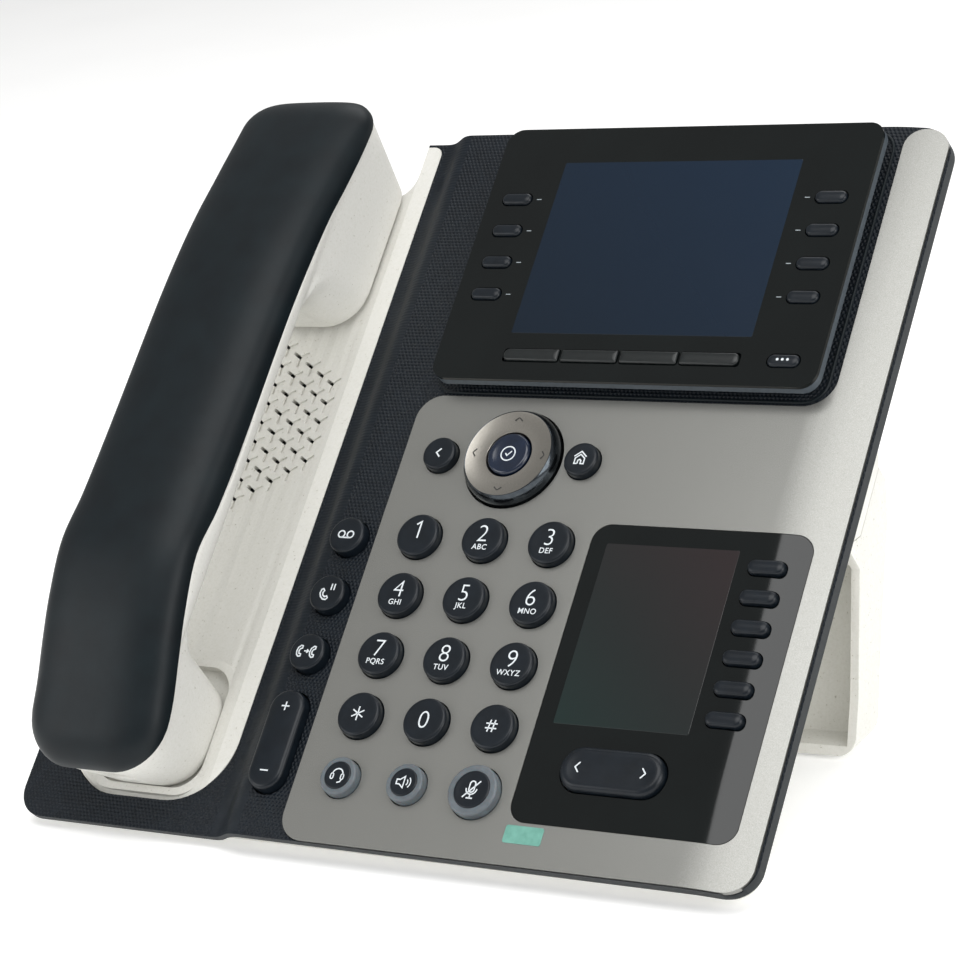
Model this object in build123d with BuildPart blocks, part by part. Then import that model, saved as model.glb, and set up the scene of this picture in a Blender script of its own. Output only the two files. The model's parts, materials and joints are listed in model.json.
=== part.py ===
"""Desk IP phone: an assembly of separate pieces, in millimetres, +Z up, standing on Z = 0.

The face of the phone is a plane tilted back from the desk.  Most pieces are drawn on that face:
u runs to the right, v up the face and w out of it.  w = 0 is the top of the silver faceplate, and
u = v = 0 is the centre of dial key 2.
"""
from build123d import *
from math import cos, degrees, radians, sin, sqrt
import os

os.makedirs("parts", exist_ok=True)

# ------------------------------------------------------------------ driving dimensions
TILT = 43.0  # face above the desk, degrees
CASE_LEFT, CASE_RIGHT = -120.0, 97.0
CASE_BOTTOM, CASE_TOP = -85.0, 125.3
CASE_CORNER = 8.0
DESK_DROP = 65.1  # from the face origin down to the desk
FACE_DEPTH = 14.907  # from the face origin back to the middle of the object
GAP = 0.3  # running gap round every moving piece
SEAT = 0.15  # gap between two pieces that are fixed together

ROLL_START = 78.0  # the right edge of the face rolls down from here
ROLL_RADIUS = 73.6
LOW_DECK = -5.0  # dark case beside the cradle
DECK = -0.6  # dark case beside the faceplate
STEP_LEFT, STEP_RIGHT = -56.5, -46.0
CASE_SKIN = 2.0
PLATE = 1.6  # faceplate and side lens

PLATE_LEFT, PLATE_BOTTOM, PLATE_SHOULDER = -33.3, -84.8, 42.2
BAND_LEFT = 84.7
PLATE_RIGHT = 96.3
PLATE_TOP = 124.6
PLATE_CORNER, BAND_CORNER, INNER_CORNER = 7.0, 5.5, 8.0

CRADLE_LEFT, CRADLE_RIGHT = -109.0, -57.5
CRADLE_BOTTOM, CRADLE_TOP = -76.5, 124.5
CRADLE_CORNER, CRADLE_TOP_CORNER = 18.0, 3.0
CRADLE_DISH = 3.0
DISH_HALF = 20.7
NOTCH_LEFT, NOTCH_RIGHT, NOTCH_BOTTOM = -104.0, -62.5, 109.0

KEY_PITCH_U, KEY_PITCH_V = 19.5, 16.9
DIAL_RADIUS = 6.0
RING_KEY_RADIUS = 5.15
MUTE_RADIUS = 6.75
HOME_RADIUS = 4.75
LEFT_KEY_RADIUS = 5.15
KEY_TOP = 2.4
NAV_TOP = 3.9
SIDE_KEY_TOP = 1.5
FLANGE = 0.8
FLANGE_MARGIN = 0.9
FLANGE_TOP = -3.9
SIDE_FLANGE_TOP = -5.0
STEM_RADIUS = 2.0
STEM_END = -6.6
KEY_EDGE = 0.5

MODULE_LEFT, MODULE_RIGHT = -28.5, 82.4
MODULE_BOTTOM, MODULE_TOP = 43.7, 121.6
MODULE_CORNER = 4.5
SLAB_LOW, SLAB_HIGH = 3.6, 5.7
LENS_LOW, LENS_HIGH = 5.8, 6.8
PEDESTAL_INSET = 2.5
PEDESTAL_WALL = 1.3
MODULE_FLANGE_MARGIN = 0.6
MODULE_KEY_TOP = 7.5
MODULE_FLANGE_TOP = 3.2
MODULE_STEM_END = 2.1

MAIN_LCD = (70.1, 52.6)
MAIN_LCD_AT = (27.0, 84.2)
SIDE_LCD = (36.7, 49.0)
SIDE_LCD_AT = (53.0, -22.9)
SIDE_LENS_LEFT, SIDE_LENS_RIGHT = 30.0, 90.2
SIDE_LENS_BOTTOM, SIDE_LENS_TOP = -73.6, 6.9
SIDE_LENS_CORNER = 5.0

BODY_LEFT, BODY_RIGHT = -107.7, 87.4
BODY_TOP = 118.0
BODY_BACK = -21.0
WALL = 2.0
RIM_TOP = -7.3
RIM_INSET = 1.8
HUMP_LEFT, HUMP_RIGHT = -102.15, 81.85
HUMP_BACK = -38.7
HUMP_WALL = 2.2
HUMP_FLOOR = -9.8  # height of the flat underside, from the face origin
HUMP_SHOULDER = 47.0
HUMP_SLOPE = 19.0 / 17.7
FOOT_HEIGHT = 1.2
SOLE = FOOT_HEIGHT - DESK_DROP  # underside of the hard plastic, from the face origin

HOOK_V = 41.5
HOOK_TRAVEL = 8.0
HOOK_STUB, HOOK_HEAD = 2.0, 4.0
HOOK_SPACING = 65.0
HOOK_MIDDLE = (HUMP_LEFT + HUMP_RIGHT) / 2

HANDSET_U = -84.0
HANDSET_WIDTH = 42.0
GRIP_UNDERSIDE = 19.5
HANDSET_WALL = 2.2
CORD_SOCKET_BACK, CORD_SOCKET_W = -66.0, 4.2

BOARD_TOP = -9.4
BOARD = 1.6
MEMBRANE_TOP = -8.1
MEMBRANE = 1.2
SCREW_LEFT, SCREW_RIGHT = -52.0, 81.0
SCREW_LOW, SCREW_MIDDLE, SCREW_HIGH = -61.0, 76.0, 112.0
left_screws = [(SCREW_LEFT, v) for v in (SCREW_LOW, SCREW_MIDDLE, SCREW_HIGH)]
right_screws = [(SCREW_RIGHT - 4, SCREW_LOW), (SCREW_RIGHT, SCREW_MIDDLE), (SCREW_RIGHT, SCREW_HIGH)]
SCREW_PLACES = left_screws + right_screws
CASE_BOSS, CASE_PILOT = 3.5, 1.55  # radii of the screw bosses and their holes
HOUSING_BOSS, SCREW_BORE, SCREW_SINK = 4.5, 1.7, 3.1
SCREW_HEAD, SCREW_SHANK = 2.8, 1.5

# ------------------------------------------------------------------ the face and its sections
slope_sin, slope_cos = sin(radians(TILT)), cos(radians(TILT))
MIDDLE_U = (CASE_LEFT + CASE_RIGHT) / 2
face = Plane(
    origin=(-MIDDLE_U, -FACE_DEPTH, DESK_DROP),
    x_dir=(1, 0, 0),
    z_dir=(0, -slope_sin, slope_cos),
)
outwards = Axis(face.origin, face.z_dir)


def level(w):
    """Plane parallel to the face, at height w."""
    return face.offset(w)


def across(v):
    """Section plane across the phone at v: x is u, y is w, and it extrudes down the face."""
    return Plane(origin=face.from_local_coords((0, v, 0)), x_dir=face.x_dir, z_dir=-face.y_dir)


def along(u):
    """Section plane along the phone at u: x is v, y is w, and it extrudes to the right."""
    return Plane(origin=face.from_local_coords((u, 0, 0)), x_dir=face.y_dir, z_dir=face.x_dir)


def v_at_height(z, w):
    """v of the point at level w whose height over the face origin is z."""
    return (z - w * slope_cos) / slope_sin


def save(part, name):
    """Label a finished piece and write it."""
    part.label = name
    export_step(part, f"parts/{name}.step")


def case_outline(inset=0.0):
    """Rounded outline of the whole face, drawn in the current sketch."""
    width = CASE_RIGHT - CASE_LEFT - 2 * inset
    height = CASE_TOP - CASE_BOTTOM - 2 * inset
    with Locations((MIDDLE_U, (CASE_BOTTOM + CASE_TOP) / 2)):
        RectangleRounded(width, height, CASE_CORNER - inset)


def box_sketch(left, bottom, right, top, corner=0.0):
    """Rectangle given by its sides, drawn in the current sketch."""
    with Locations(((left + right) / 2, (bottom + top) / 2)):
        if corner:
            RectangleRounded(right - left, top - bottom, corner)
        else:
            Rectangle(right - left, top - bottom)


def rolled_band(high, low, left, right):
    """Section between two depths under the face surface, which is flat and then rolls down."""
    turn = -degrees((right - ROLL_START) / ROLL_RADIUS)
    with BuildLine() as band:
        top_flat = Line((left, -high), (ROLL_START, -high))
        top_arc = CenterArc((ROLL_START, -ROLL_RADIUS), ROLL_RADIUS - high, 90, turn)
        low_flat = Line((left, -low), (ROLL_START, -low))
        low_arc = CenterArc((ROLL_START, -ROLL_RADIUS), ROLL_RADIUS - low, 90, turn)
        Line(top_flat @ 0, low_flat @ 0)
        Line(top_arc @ 1, low_arc @ 1)
    make_face(band.edges())


def case_lines(shift, right_drop):
    """Left deck, S-curve, right deck and roll of the dark case, lowered by shift."""
    left = Line((CASE_LEFT - 5, LOW_DECK - shift), (STEP_LEFT, LOW_DECK - shift))
    step_end = (STEP_RIGHT, DECK - shift - 0.15 * right_drop)
    Spline((left @ 1, step_end), tangents=((1, 0), (1, 0)))
    flat = Line(step_end, (ROLL_START, DECK - shift - right_drop))
    roll = ThreePointArc(
        flat @ 1,
        (ROLL_START + 11, (flat @ 1).Y - 0.83),
        (ROLL_START + 22, (flat @ 1).Y - 3.36),
    )
    return left @ 0, roll @ 1


# ------------------------------------------------------------------ top case
dial_rows = (("1", "2", "3"), ("4", "5", "6"), ("7", "8", "9"), ("star", "0", "hash"))
round_keys = {}
for row, names in enumerate(dial_rows):
    for column, name in enumerate(names):
        place = ((column - 1) * KEY_PITCH_U, -row * KEY_PITCH_V)
        round_keys[f"key_{name}"] = (*place, DIAL_RADIUS)
LAST_ROW = -4 * KEY_PITCH_V
round_keys["headset_key"] = (-KEY_PITCH_U, LAST_ROW, RING_KEY_RADIUS)
round_keys["speaker_key"] = (0.0, LAST_ROW, RING_KEY_RADIUS)
round_keys["mute_key"] = (KEY_PITCH_U, LAST_ROW, MUTE_RADIUS)
round_keys["back_key"] = (-21.1, 23.9, HOME_RADIUS)
round_keys["home_key"] = (21.1, 23.9, HOME_RADIUS)
LEFT_COLUMN = -40.9
for index, name in enumerate(("message_key", "hold_key", "transfer_key")):
    round_keys[name] = (LEFT_COLUMN, -1.2 - index * KEY_PITCH_V, LEFT_KEY_RADIUS)

NAV = (0.6, 23.8)
NAV_RADIUS, SELECT_RADIUS = 13.5, 6.0
NAV_HOLE = NAV_RADIUS + 2 * GAP
VOLUME = (-41.4, -59.5)
VOLUME_SIZE = (10.3, 27.6)
PAGE = (54.8, -58.9)
PAGE_SIZE = (28.0, 11.5)
ROCKER_GAP = 0.5
SIDE_KEY_SIZE = (10.0, 3.9)
SIDE_KEY_U = 79.9
SIDE_KEY_FIRST, SIDE_KEY_STEP = -2.7, 8.05
LINE_KEY_SIZE = (8.8, 3.5)
LINE_KEY_U = (-19.3, 72.8)
LINE_KEY_FIRST, LINE_KEY_STEP = 99.0, 9.87
SOFT_KEY_SIZE = (16.4, 3.5)
SOFT_KEY_FIRST, SOFT_KEY_STEP = 0.4, 17.2
SOFT_KEY_V = 51.0
MORE_KEY_U = 72.4

side_places = [(SIDE_KEY_U, SIDE_KEY_FIRST - i * SIDE_KEY_STEP) for i in range(6)]
line_places = [(u, LINE_KEY_FIRST - i * LINE_KEY_STEP) for u in LINE_KEY_U for i in range(4)]
soft_places = [(SOFT_KEY_FIRST + i * SOFT_KEY_STEP, SOFT_KEY_V) for i in range(4)]


def dial_holes(mode=Mode.ADD):
    """Holes for the round keys and the rockers, drawn in the current sketch."""
    for u, v, radius in round_keys.values():
        with Locations((u, v)):
            Circle(radius + GAP, mode=mode)
    with Locations(NAV):
        Circle(NAV_HOLE, mode=mode)
    with Locations(VOLUME):
        SlotOverall(VOLUME_SIZE[1] + 2 * ROCKER_GAP, VOLUME_SIZE[0] + 2 * GAP, rotation=90, mode=mode)


def side_holes(mode=Mode.ADD):
    """Holes for the side keys and the page rocker, drawn in the current sketch."""
    for place in side_places:
        with Locations(place):
            SlotOverall(SIDE_KEY_SIZE[0] + 2 * GAP, SIDE_KEY_SIZE[1] + 2 * GAP, mode=mode)
    with Locations(PAGE):
        SlotOverall(PAGE_SIZE[0] + 2 * ROCKER_GAP, PAGE_SIZE[1] + 2 * GAP, mode=mode)


def module_holes(mode=Mode.ADD):
    """Holes for the keys of the main display module, drawn in the current sketch."""
    for place in line_places:
        with Locations(place):
            SlotOverall(LINE_KEY_SIZE[0] + 2 * GAP, LINE_KEY_SIZE[1] + 2 * GAP, mode=mode)
    for place in soft_places:
        with Locations(place):
            RectangleRounded(SOFT_KEY_SIZE[0] + 2 * GAP, SOFT_KEY_SIZE[1] + 2 * GAP, 1.0, mode=mode)
    with Locations((MORE_KEY_U, SOFT_KEY_V)):
        SlotOverall(LINE_KEY_SIZE[0] + 2 * GAP, LINE_KEY_SIZE[1] + 2 * GAP, mode=mode)


def plate_outline(gap=0.0):
    """L-shaped outline of the faceplate: keypad area and the band up the right edge."""
    right = PLATE_RIGHT + gap
    middle = (PLATE_BOTTOM + PLATE_SHOULDER) / 2
    inner = (BAND_LEFT - INNER_CORNER, PLATE_SHOULDER + INNER_CORNER)
    box_sketch(PLATE_LEFT - gap, PLATE_BOTTOM - gap, right, PLATE_SHOULDER + gap, PLATE_CORNER)
    box_sketch(BAND_LEFT - gap, middle, right, PLATE_TOP + gap, BAND_CORNER)
    box_sketch(BAND_LEFT - INNER_CORNER, middle, right, PLATE_SHOULDER + INNER_CORNER)
    with Locations(inner):
        Circle(INNER_CORNER - gap, mode=Mode.SUBTRACT)


def cradle_outline(gap=0.0):
    """Outline of the cradle: large corners at the bottom and small ones at the top."""
    left, right = CRADLE_LEFT - gap, CRADLE_RIGHT + gap
    box_sketch(left, CRADLE_BOTTOM - gap, right, CRADLE_TOP + gap, CRADLE_CORNER)
    box_sketch(left, 0.0, right, CRADLE_TOP + gap, CRADLE_TOP_CORNER)


def notch():
    """Gap in the top edge above the handset's ear end, drawn in the current sketch."""
    box_sketch(NOTCH_LEFT, NOTCH_BOTTOM, NOTCH_RIGHT, CASE_TOP + 10, 6.0)


CASE_REACH = CASE_TOP - CASE_BOTTOM
with BuildPart() as skirt:
    with BuildSketch(across(CASE_TOP)):
        with BuildLine():
            low_start, low_end = case_lines(CASE_SKIN - 0.8, 1.3)
            Polyline(low_start, (low_start.X, RIM_TOP + 0.1), (low_end.X, RIM_TOP + 0.1), low_end)
        make_face()
    extrude(amount=CASE_REACH)
    with BuildSketch(level(-20)):
        case_outline(1.6)
        offset(amount=-2.0, mode=Mode.SUBTRACT)
    extrude(amount=40, mode=Mode.INTERSECT)

with BuildPart() as plate_seat:
    with BuildSketch(across(CASE_TOP)):
        rolled_band(-3.0, PLATE + 0.1, PLATE_LEFT - 20, CASE_RIGHT + 1)
    extrude(amount=CASE_REACH + 5)
    with BuildSketch(level(-20)):
        plate_outline(SEAT)
    extrude(amount=40, mode=Mode.INTERSECT)

with BuildPart() as top_case:
    with BuildSketch(across(CASE_TOP)):
        with BuildLine():
            top_start, top_end = case_lines(0.0, 0.0)
            low_start, low_end = case_lines(CASE_SKIN, 1.3)
            Line(top_start, low_start)
            Line(top_end, low_end)
        make_face()
    extrude(amount=CASE_REACH)
    with BuildSketch(level(-20)):
        case_outline()
    extrude(amount=40, mode=Mode.INTERSECT)
    add(skirt.part)
    with BuildSketch(level(-6)):
        with Locations(*SCREW_PLACES):
            Circle(CASE_BOSS)
    extrude(amount=-10.6)
    with BuildSketch(level(-6)):
        with Locations(*right_screws):
            Circle(CASE_BOSS)
    extrude(amount=3.2)
    with BuildSketch(level(-6)):
        with Locations(*left_screws):
            Circle(CASE_BOSS)
    extrude(amount=1.6)
    with BuildSketch(level(-16.6)):
        with Locations(*SCREW_PLACES):
            Circle(CASE_PILOT)
    extrude(amount=8.6, mode=Mode.SUBTRACT)
    with BuildSketch(level(-14)):
        cradle_outline(SEAT)
    extrude(amount=20, mode=Mode.SUBTRACT)
    with BuildSketch(level(-14)):
        notch()
    extrude(amount=20, mode=Mode.SUBTRACT)
    add(plate_seat.part, mode=Mode.SUBTRACT)
    with BuildSketch(level(-14)):
        dial_holes()
        side_holes()
        with Locations(SIDE_LCD_AT):
            RectangleRounded(SIDE_LCD[0] + 1, SIDE_LCD[1] + 1, 0.8)
    extrude(amount=20, mode=Mode.SUBTRACT)
save(top_case.part, "top_case")

# ------------------------------------------------------------------ faceplate and lenses
with BuildPart() as faceplate:
    with BuildSketch(across(CASE_TOP)):
        rolled_band(0.0, PLATE, PLATE_LEFT - 20, CASE_RIGHT + 1)
    extrude(amount=CASE_REACH + 5)
    with BuildSketch(level(-20)):
        plate_outline()
    extrude(amount=40, mode=Mode.INTERSECT)
    with BuildSketch(level(-20)):
        dial_holes()
        box_sketch(
            SIDE_LENS_LEFT - SEAT, SIDE_LENS_BOTTOM - SEAT,
            SIDE_LENS_RIGHT + SEAT, SIDE_LENS_TOP + SEAT, SIDE_LENS_CORNER,
        )
    extrude(amount=40, mode=Mode.SUBTRACT)
save(faceplate.part, "faceplate")

with BuildPart() as display_lenses:
    with BuildSketch(across(CASE_TOP)):
        rolled_band(0.05, PLATE, PLATE_LEFT, CASE_RIGHT + 1)
    extrude(amount=CASE_REACH)
    with BuildSketch(level(-20)):
        box_sketch(SIDE_LENS_LEFT, SIDE_LENS_BOTTOM, SIDE_LENS_RIGHT, SIDE_LENS_TOP, SIDE_LENS_CORNER)
        side_holes(Mode.SUBTRACT)
    extrude(amount=40, mode=Mode.INTERSECT)
    with BuildSketch(level(LENS_LOW)):
        box_sketch(MODULE_LEFT, MODULE_BOTTOM, MODULE_RIGHT, MODULE_TOP, MODULE_CORNER)
        module_holes(Mode.SUBTRACT)
    extrude(amount=LENS_HIGH - LENS_LOW)
save(display_lenses.part, "display_lenses")

WINDOW = (MAIN_LCD[0] + 4.6, MAIN_LCD[1] + 5.2)
PEDESTAL = [
    MODULE_LEFT + PEDESTAL_INSET, MODULE_BOTTOM + PEDESTAL_INSET,
    MODULE_RIGHT - PEDESTAL_INSET, MODULE_TOP - PEDESTAL_INSET,
]
with BuildPart() as display_bezel:
    with BuildSketch(level(SLAB_LOW)):
        box_sketch(MODULE_LEFT, MODULE_BOTTOM, MODULE_RIGHT, MODULE_TOP, MODULE_CORNER)
    extrude(amount=SLAB_HIGH - SLAB_LOW)
    with BuildSketch(level(DECK + 0.1)):
        box_sketch(*PEDESTAL, MODULE_CORNER - 1)
    extrude(amount=SLAB_LOW - DECK - 0.1)
    with BuildSketch(level(DECK + 0.1)):
        box_sketch(
            PEDESTAL[0] + PEDESTAL_WALL, PEDESTAL[1] + PEDESTAL_WALL,
            PEDESTAL[2] - PEDESTAL_WALL, PEDESTAL[3] - PEDESTAL_WALL, MODULE_CORNER - 2,
        )
    extrude(amount=SLAB_LOW - DECK - 0.1, mode=Mode.SUBTRACT)
    with BuildSketch(level(SLAB_LOW - 1)):
        module_holes()
        with Locations(MAIN_LCD_AT):
            Rectangle(*WINDOW)
    extrude(amount=SLAB_HIGH, mode=Mode.SUBTRACT)
save(display_bezel.part, "display_bezel")

with BuildPart() as lcd_panels:
    with BuildSketch(level(2.0)):
        with Locations(MAIN_LCD_AT):
            Rectangle(WINDOW[0] - 0.4, WINDOW[1] - 0.4)
    extrude(amount=3.5)
    with BuildSketch(level(-7.3)):
        with Locations(SIDE_LCD_AT):
            Rectangle(SIDE_LCD[0] + 2.4, SIDE_LCD[1] + 5)
    extrude(amount=2.9)
save(lcd_panels.part, "lcd_panels")

# ------------------------------------------------------------------ cradle with the grille
CRADLE_MIDDLE = (CRADLE_LEFT + CRADLE_RIGHT) / 2
POCKET = (-101.0, -72.6, -67.0, -38.0)
POCKET_FLOOR = -9.3
POCKET_WALL = 2.0
POCKET_CORNER = 8.0
GRILLE_COLUMNS = 5
GRILLE_PITCH_U, GRILLE_PITCH_V = 4.95, 6.0
GRILLE_AT = (-78.2, 36.3)
ARM_LENGTH, ARM_WIDTH = 3.0, 0.95
GROOVE_DEPTH = 0.6
HOOK_SWITCH_AT = (-83.5, 88.0)
HOOK_SWITCH_RADIUS = 2.5


def dished_band(high, low):
    """Section of the cradle floor, dished in the middle, between two depths under it."""
    with BuildLine() as band:
        for depth in (high, low):
            edge = LOW_DECK - depth
            Line((CRADLE_LEFT, edge), (CRADLE_MIDDLE - DISH_HALF, edge))
            ThreePointArc(
                (CRADLE_MIDDLE - DISH_HALF, edge),
                (CRADLE_MIDDLE, edge - CRADLE_DISH),
                (CRADLE_MIDDLE + DISH_HALF, edge),
            )
            Line((CRADLE_MIDDLE + DISH_HALF, edge), (CRADLE_RIGHT, edge))
        for u in (CRADLE_LEFT, CRADLE_RIGHT):
            Line((u, LOW_DECK - high), (u, LOW_DECK - low))
    make_face(band.edges())


def grille_places():
    """Staggered lattice of slot places, trimmed to a diamond."""
    places = []
    for column in range(GRILLE_COLUMNS):
        rows = 9 - column
        u = GRILLE_AT[0] + (column - (GRILLE_COLUMNS - 1) / 2) * GRILLE_PITCH_U
        for row in range(rows):
            v = GRILLE_AT[1] + (row - (rows - 1) / 2) * GRILLE_PITCH_V
            places.append((u, v))
    return places


def grille_arms(*angles):
    """One straight arm per angle at every grille place, drawn in the current sketch."""
    for u, v in grille_places():
        for angle in angles:
            reach = ARM_LENGTH / 2
            at = (u + reach * cos(radians(angle)), v + reach * sin(radians(angle)))
            with Locations(at):
                SlotOverall(ARM_LENGTH, ARM_WIDTH, rotation=angle)


with BuildPart() as grille_grooves:
    with BuildSketch(across(CASE_TOP)):
        dished_band(-1.0, GROOVE_DEPTH)
    extrude(amount=CASE_REACH)
    with BuildSketch(level(-20)):
        grille_arms(30, -90)
    extrude(amount=20, mode=Mode.INTERSECT)

with BuildPart() as cradle:
    with BuildSketch(across(CRADLE_TOP)):
        dished_band(0.0, 2.0)
    extrude(amount=CRADLE_TOP - CRADLE_BOTTOM)
    with BuildSketch(level(POCKET_FLOOR - POCKET_WALL)):
        box_sketch(
            POCKET[0] - POCKET_WALL, POCKET[1] - POCKET_WALL,
            POCKET[2] + POCKET_WALL, POCKET[3] + POCKET_WALL, POCKET_CORNER + 1,
        )
    extrude(amount=5.0)
    with BuildSketch(level(-20)):
        cradle_outline()
    extrude(amount=20, mode=Mode.INTERSECT)
    with BuildSketch(level(POCKET_FLOOR)):
        box_sketch(*POCKET, POCKET_CORNER)
    extrude(amount=10, mode=Mode.SUBTRACT)
    with BuildSketch(level(-20)):
        notch()
        grille_arms(150)
        with Locations(HOOK_SWITCH_AT):
            Circle(HOOK_SWITCH_RADIUS + GAP)
    extrude(amount=20, mode=Mode.SUBTRACT)
    add(grille_grooves.part, mode=Mode.SUBTRACT)
save(cradle.part, "cradle")

# ------------------------------------------------------------------ rear housing
BODY_START = -83.2  # bottom edge of the rim


def body_profile(inset):
    """Side profile of the lower body: bottom end cut flat to the desk, back parallel to the face."""
    knee = BODY_BACK + 6 + inset / 2
    back = BODY_BACK + inset
    return [
        (BODY_START + 1.1 * inset, RIM_TOP + inset),
        (BODY_START + 1.2 + inset, -9.5),
        (v_at_height(SOLE + inset, knee), knee),
        (v_at_height(SOLE + inset, back), back),
        (BODY_TOP - inset, back),
        (BODY_TOP - inset, RIM_TOP + inset),
    ]


def hump_profile(inset, mouth):
    """Side profile of the hump: flat underside, back wall, and a slope up to the body."""
    floor, back = HUMP_FLOOR + inset, HUMP_BACK + inset
    lean = inset * sqrt(1 + HUMP_SLOPE**2)
    shoulder = HUMP_SHOULDER + HUMP_SLOPE * inset - lean
    return [
        (v_at_height(floor, mouth), mouth),
        (v_at_height(floor, back), back),
        (shoulder, back),
        (shoulder + HUMP_SLOPE * (mouth - back), mouth),
    ]


RJ45_BODY, RJ45_MOUTH = (16.0, 13.5, 18.0), (11.7, 8.2, 13.0)
RJ9_BODY, RJ9_MOUTH = (16.0, 13.5, 16.0), (7.8, 6.6, 12.0)
SOCKET_BACK = 42.0  # depth of the back of the sockets, from the face origin
sockets = (
    ("lan", -22.0, RJ45_BODY, RJ45_MOUTH),
    ("computer", 2.0, RJ45_BODY, RJ45_MOUTH),
    ("headset", 28.0, RJ9_BODY, RJ9_MOUTH),
    ("handset", -44.0, RJ9_BODY, RJ9_MOUTH),
)


def socket_plane(z):
    """Horizontal plane through height z over the face origin, with x and y from that origin."""
    return Plane(origin=(face.origin.X, face.origin.Y, face.origin.Z + z), x_dir=(1, 0, 0), z_dir=(0, 0, 1))


front_pad_y = v_at_height(SOLE, BODY_BACK) * slope_cos - BODY_BACK * slope_sin - 5.0
with BuildPart() as notch_wall:
    with BuildSketch(across(CASE_TOP)):
        dished_band(2.0 + GAP, LOW_DECK - BODY_BACK)
    extrude(amount=CASE_REACH)
    with BuildSketch(level(BODY_BACK)):
        box_sketch(NOTCH_LEFT - WALL, NOTCH_BOTTOM - WALL, NOTCH_RIGHT + WALL, BODY_TOP)
    extrude(amount=30, mode=Mode.INTERSECT)

with BuildPart() as rear_housing:
    with BuildSketch(level(RIM_TOP)):
        case_outline(RIM_INSET)
    extrude(amount=-WALL)
    with BuildSketch(along(BODY_LEFT)):
        with BuildLine():
            Polyline(*body_profile(0.0), close=True)
        make_face()
    extrude(amount=BODY_RIGHT - BODY_LEFT)
    with BuildSketch(along(HUMP_LEFT)):
        with BuildLine():
            Polyline(*hump_profile(0.0, BODY_BACK), close=True)
        make_face()
    extrude(amount=HUMP_RIGHT - HUMP_LEFT)
    with BuildSketch(along(BODY_LEFT + WALL)):
        with BuildLine():
            inner = body_profile(WALL)
            lifted = [(inner[0][0], RIM_TOP + 1), *inner[1:5], (inner[5][0], RIM_TOP + 1)]
            Polyline(*lifted, close=True)
        make_face()
    extrude(amount=BODY_RIGHT - BODY_LEFT - 2 * WALL, mode=Mode.SUBTRACT)
    with BuildSketch(along(HUMP_LEFT + HUMP_WALL)):
        with BuildLine():
            Polyline(*hump_profile(HUMP_WALL, BODY_BACK + WALL + 0.5), close=True)
        make_face()
    extrude(amount=HUMP_RIGHT - HUMP_LEFT - 2 * HUMP_WALL, mode=Mode.SUBTRACT)
    with BuildSketch(level(BODY_BACK)):
        with Locations(*SCREW_PLACES):
            Circle(HOUSING_BOSS)
    extrude(amount=4.1)
    with BuildSketch(level(BODY_BACK)):
        with Locations(*SCREW_PLACES):
            Circle(SCREW_BORE)
    extrude(amount=5, mode=Mode.SUBTRACT)
    with BuildSketch(level(BODY_BACK)):
        with Locations(*SCREW_PLACES):
            Circle(SCREW_SINK)
    extrude(amount=2.4, mode=Mode.SUBTRACT)
    for hook in range(-1, 2):
        with BuildSketch(level(HUMP_BACK - 1)):
            with Locations((HOOK_MIDDLE + hook * HOOK_SPACING, HOOK_V - HOOK_TRAVEL)):
                Circle(HOOK_HEAD + 0.4)
            with Locations((HOOK_MIDDLE + hook * HOOK_SPACING, HOOK_V - HOOK_TRAVEL / 2)):
                SlotOverall(HOOK_TRAVEL + 2 * HOOK_STUB + 0.6, 2 * HOOK_STUB + 0.6, rotation=90)
        extrude(amount=HUMP_WALL + 1.4, mode=Mode.SUBTRACT)
    for name, u, body, mouth in sockets:
        with BuildSketch(socket_plane(HUMP_FLOOR - 1)):
            with Locations((u, SOCKET_BACK - body[1] / 2)):
                Rectangle(body[0] + 2 * GAP, body[1] + 2 * GAP)
        extrude(amount=HUMP_WALL + 1.4, mode=Mode.SUBTRACT)
    add(notch_wall.part)
    with BuildSketch(level(-30)):
        notch()
    extrude(amount=30, mode=Mode.SUBTRACT)
    for u in (-90.0, 70.0):
        with BuildSketch(socket_plane(-DESK_DROP)):
            with Locations((u, front_pad_y)):
                RectangleRounded(30, 6, 2.9)
        extrude(amount=FOOT_HEIGHT + 1.0)
save(rear_housing.part, "rear_housing")

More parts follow.
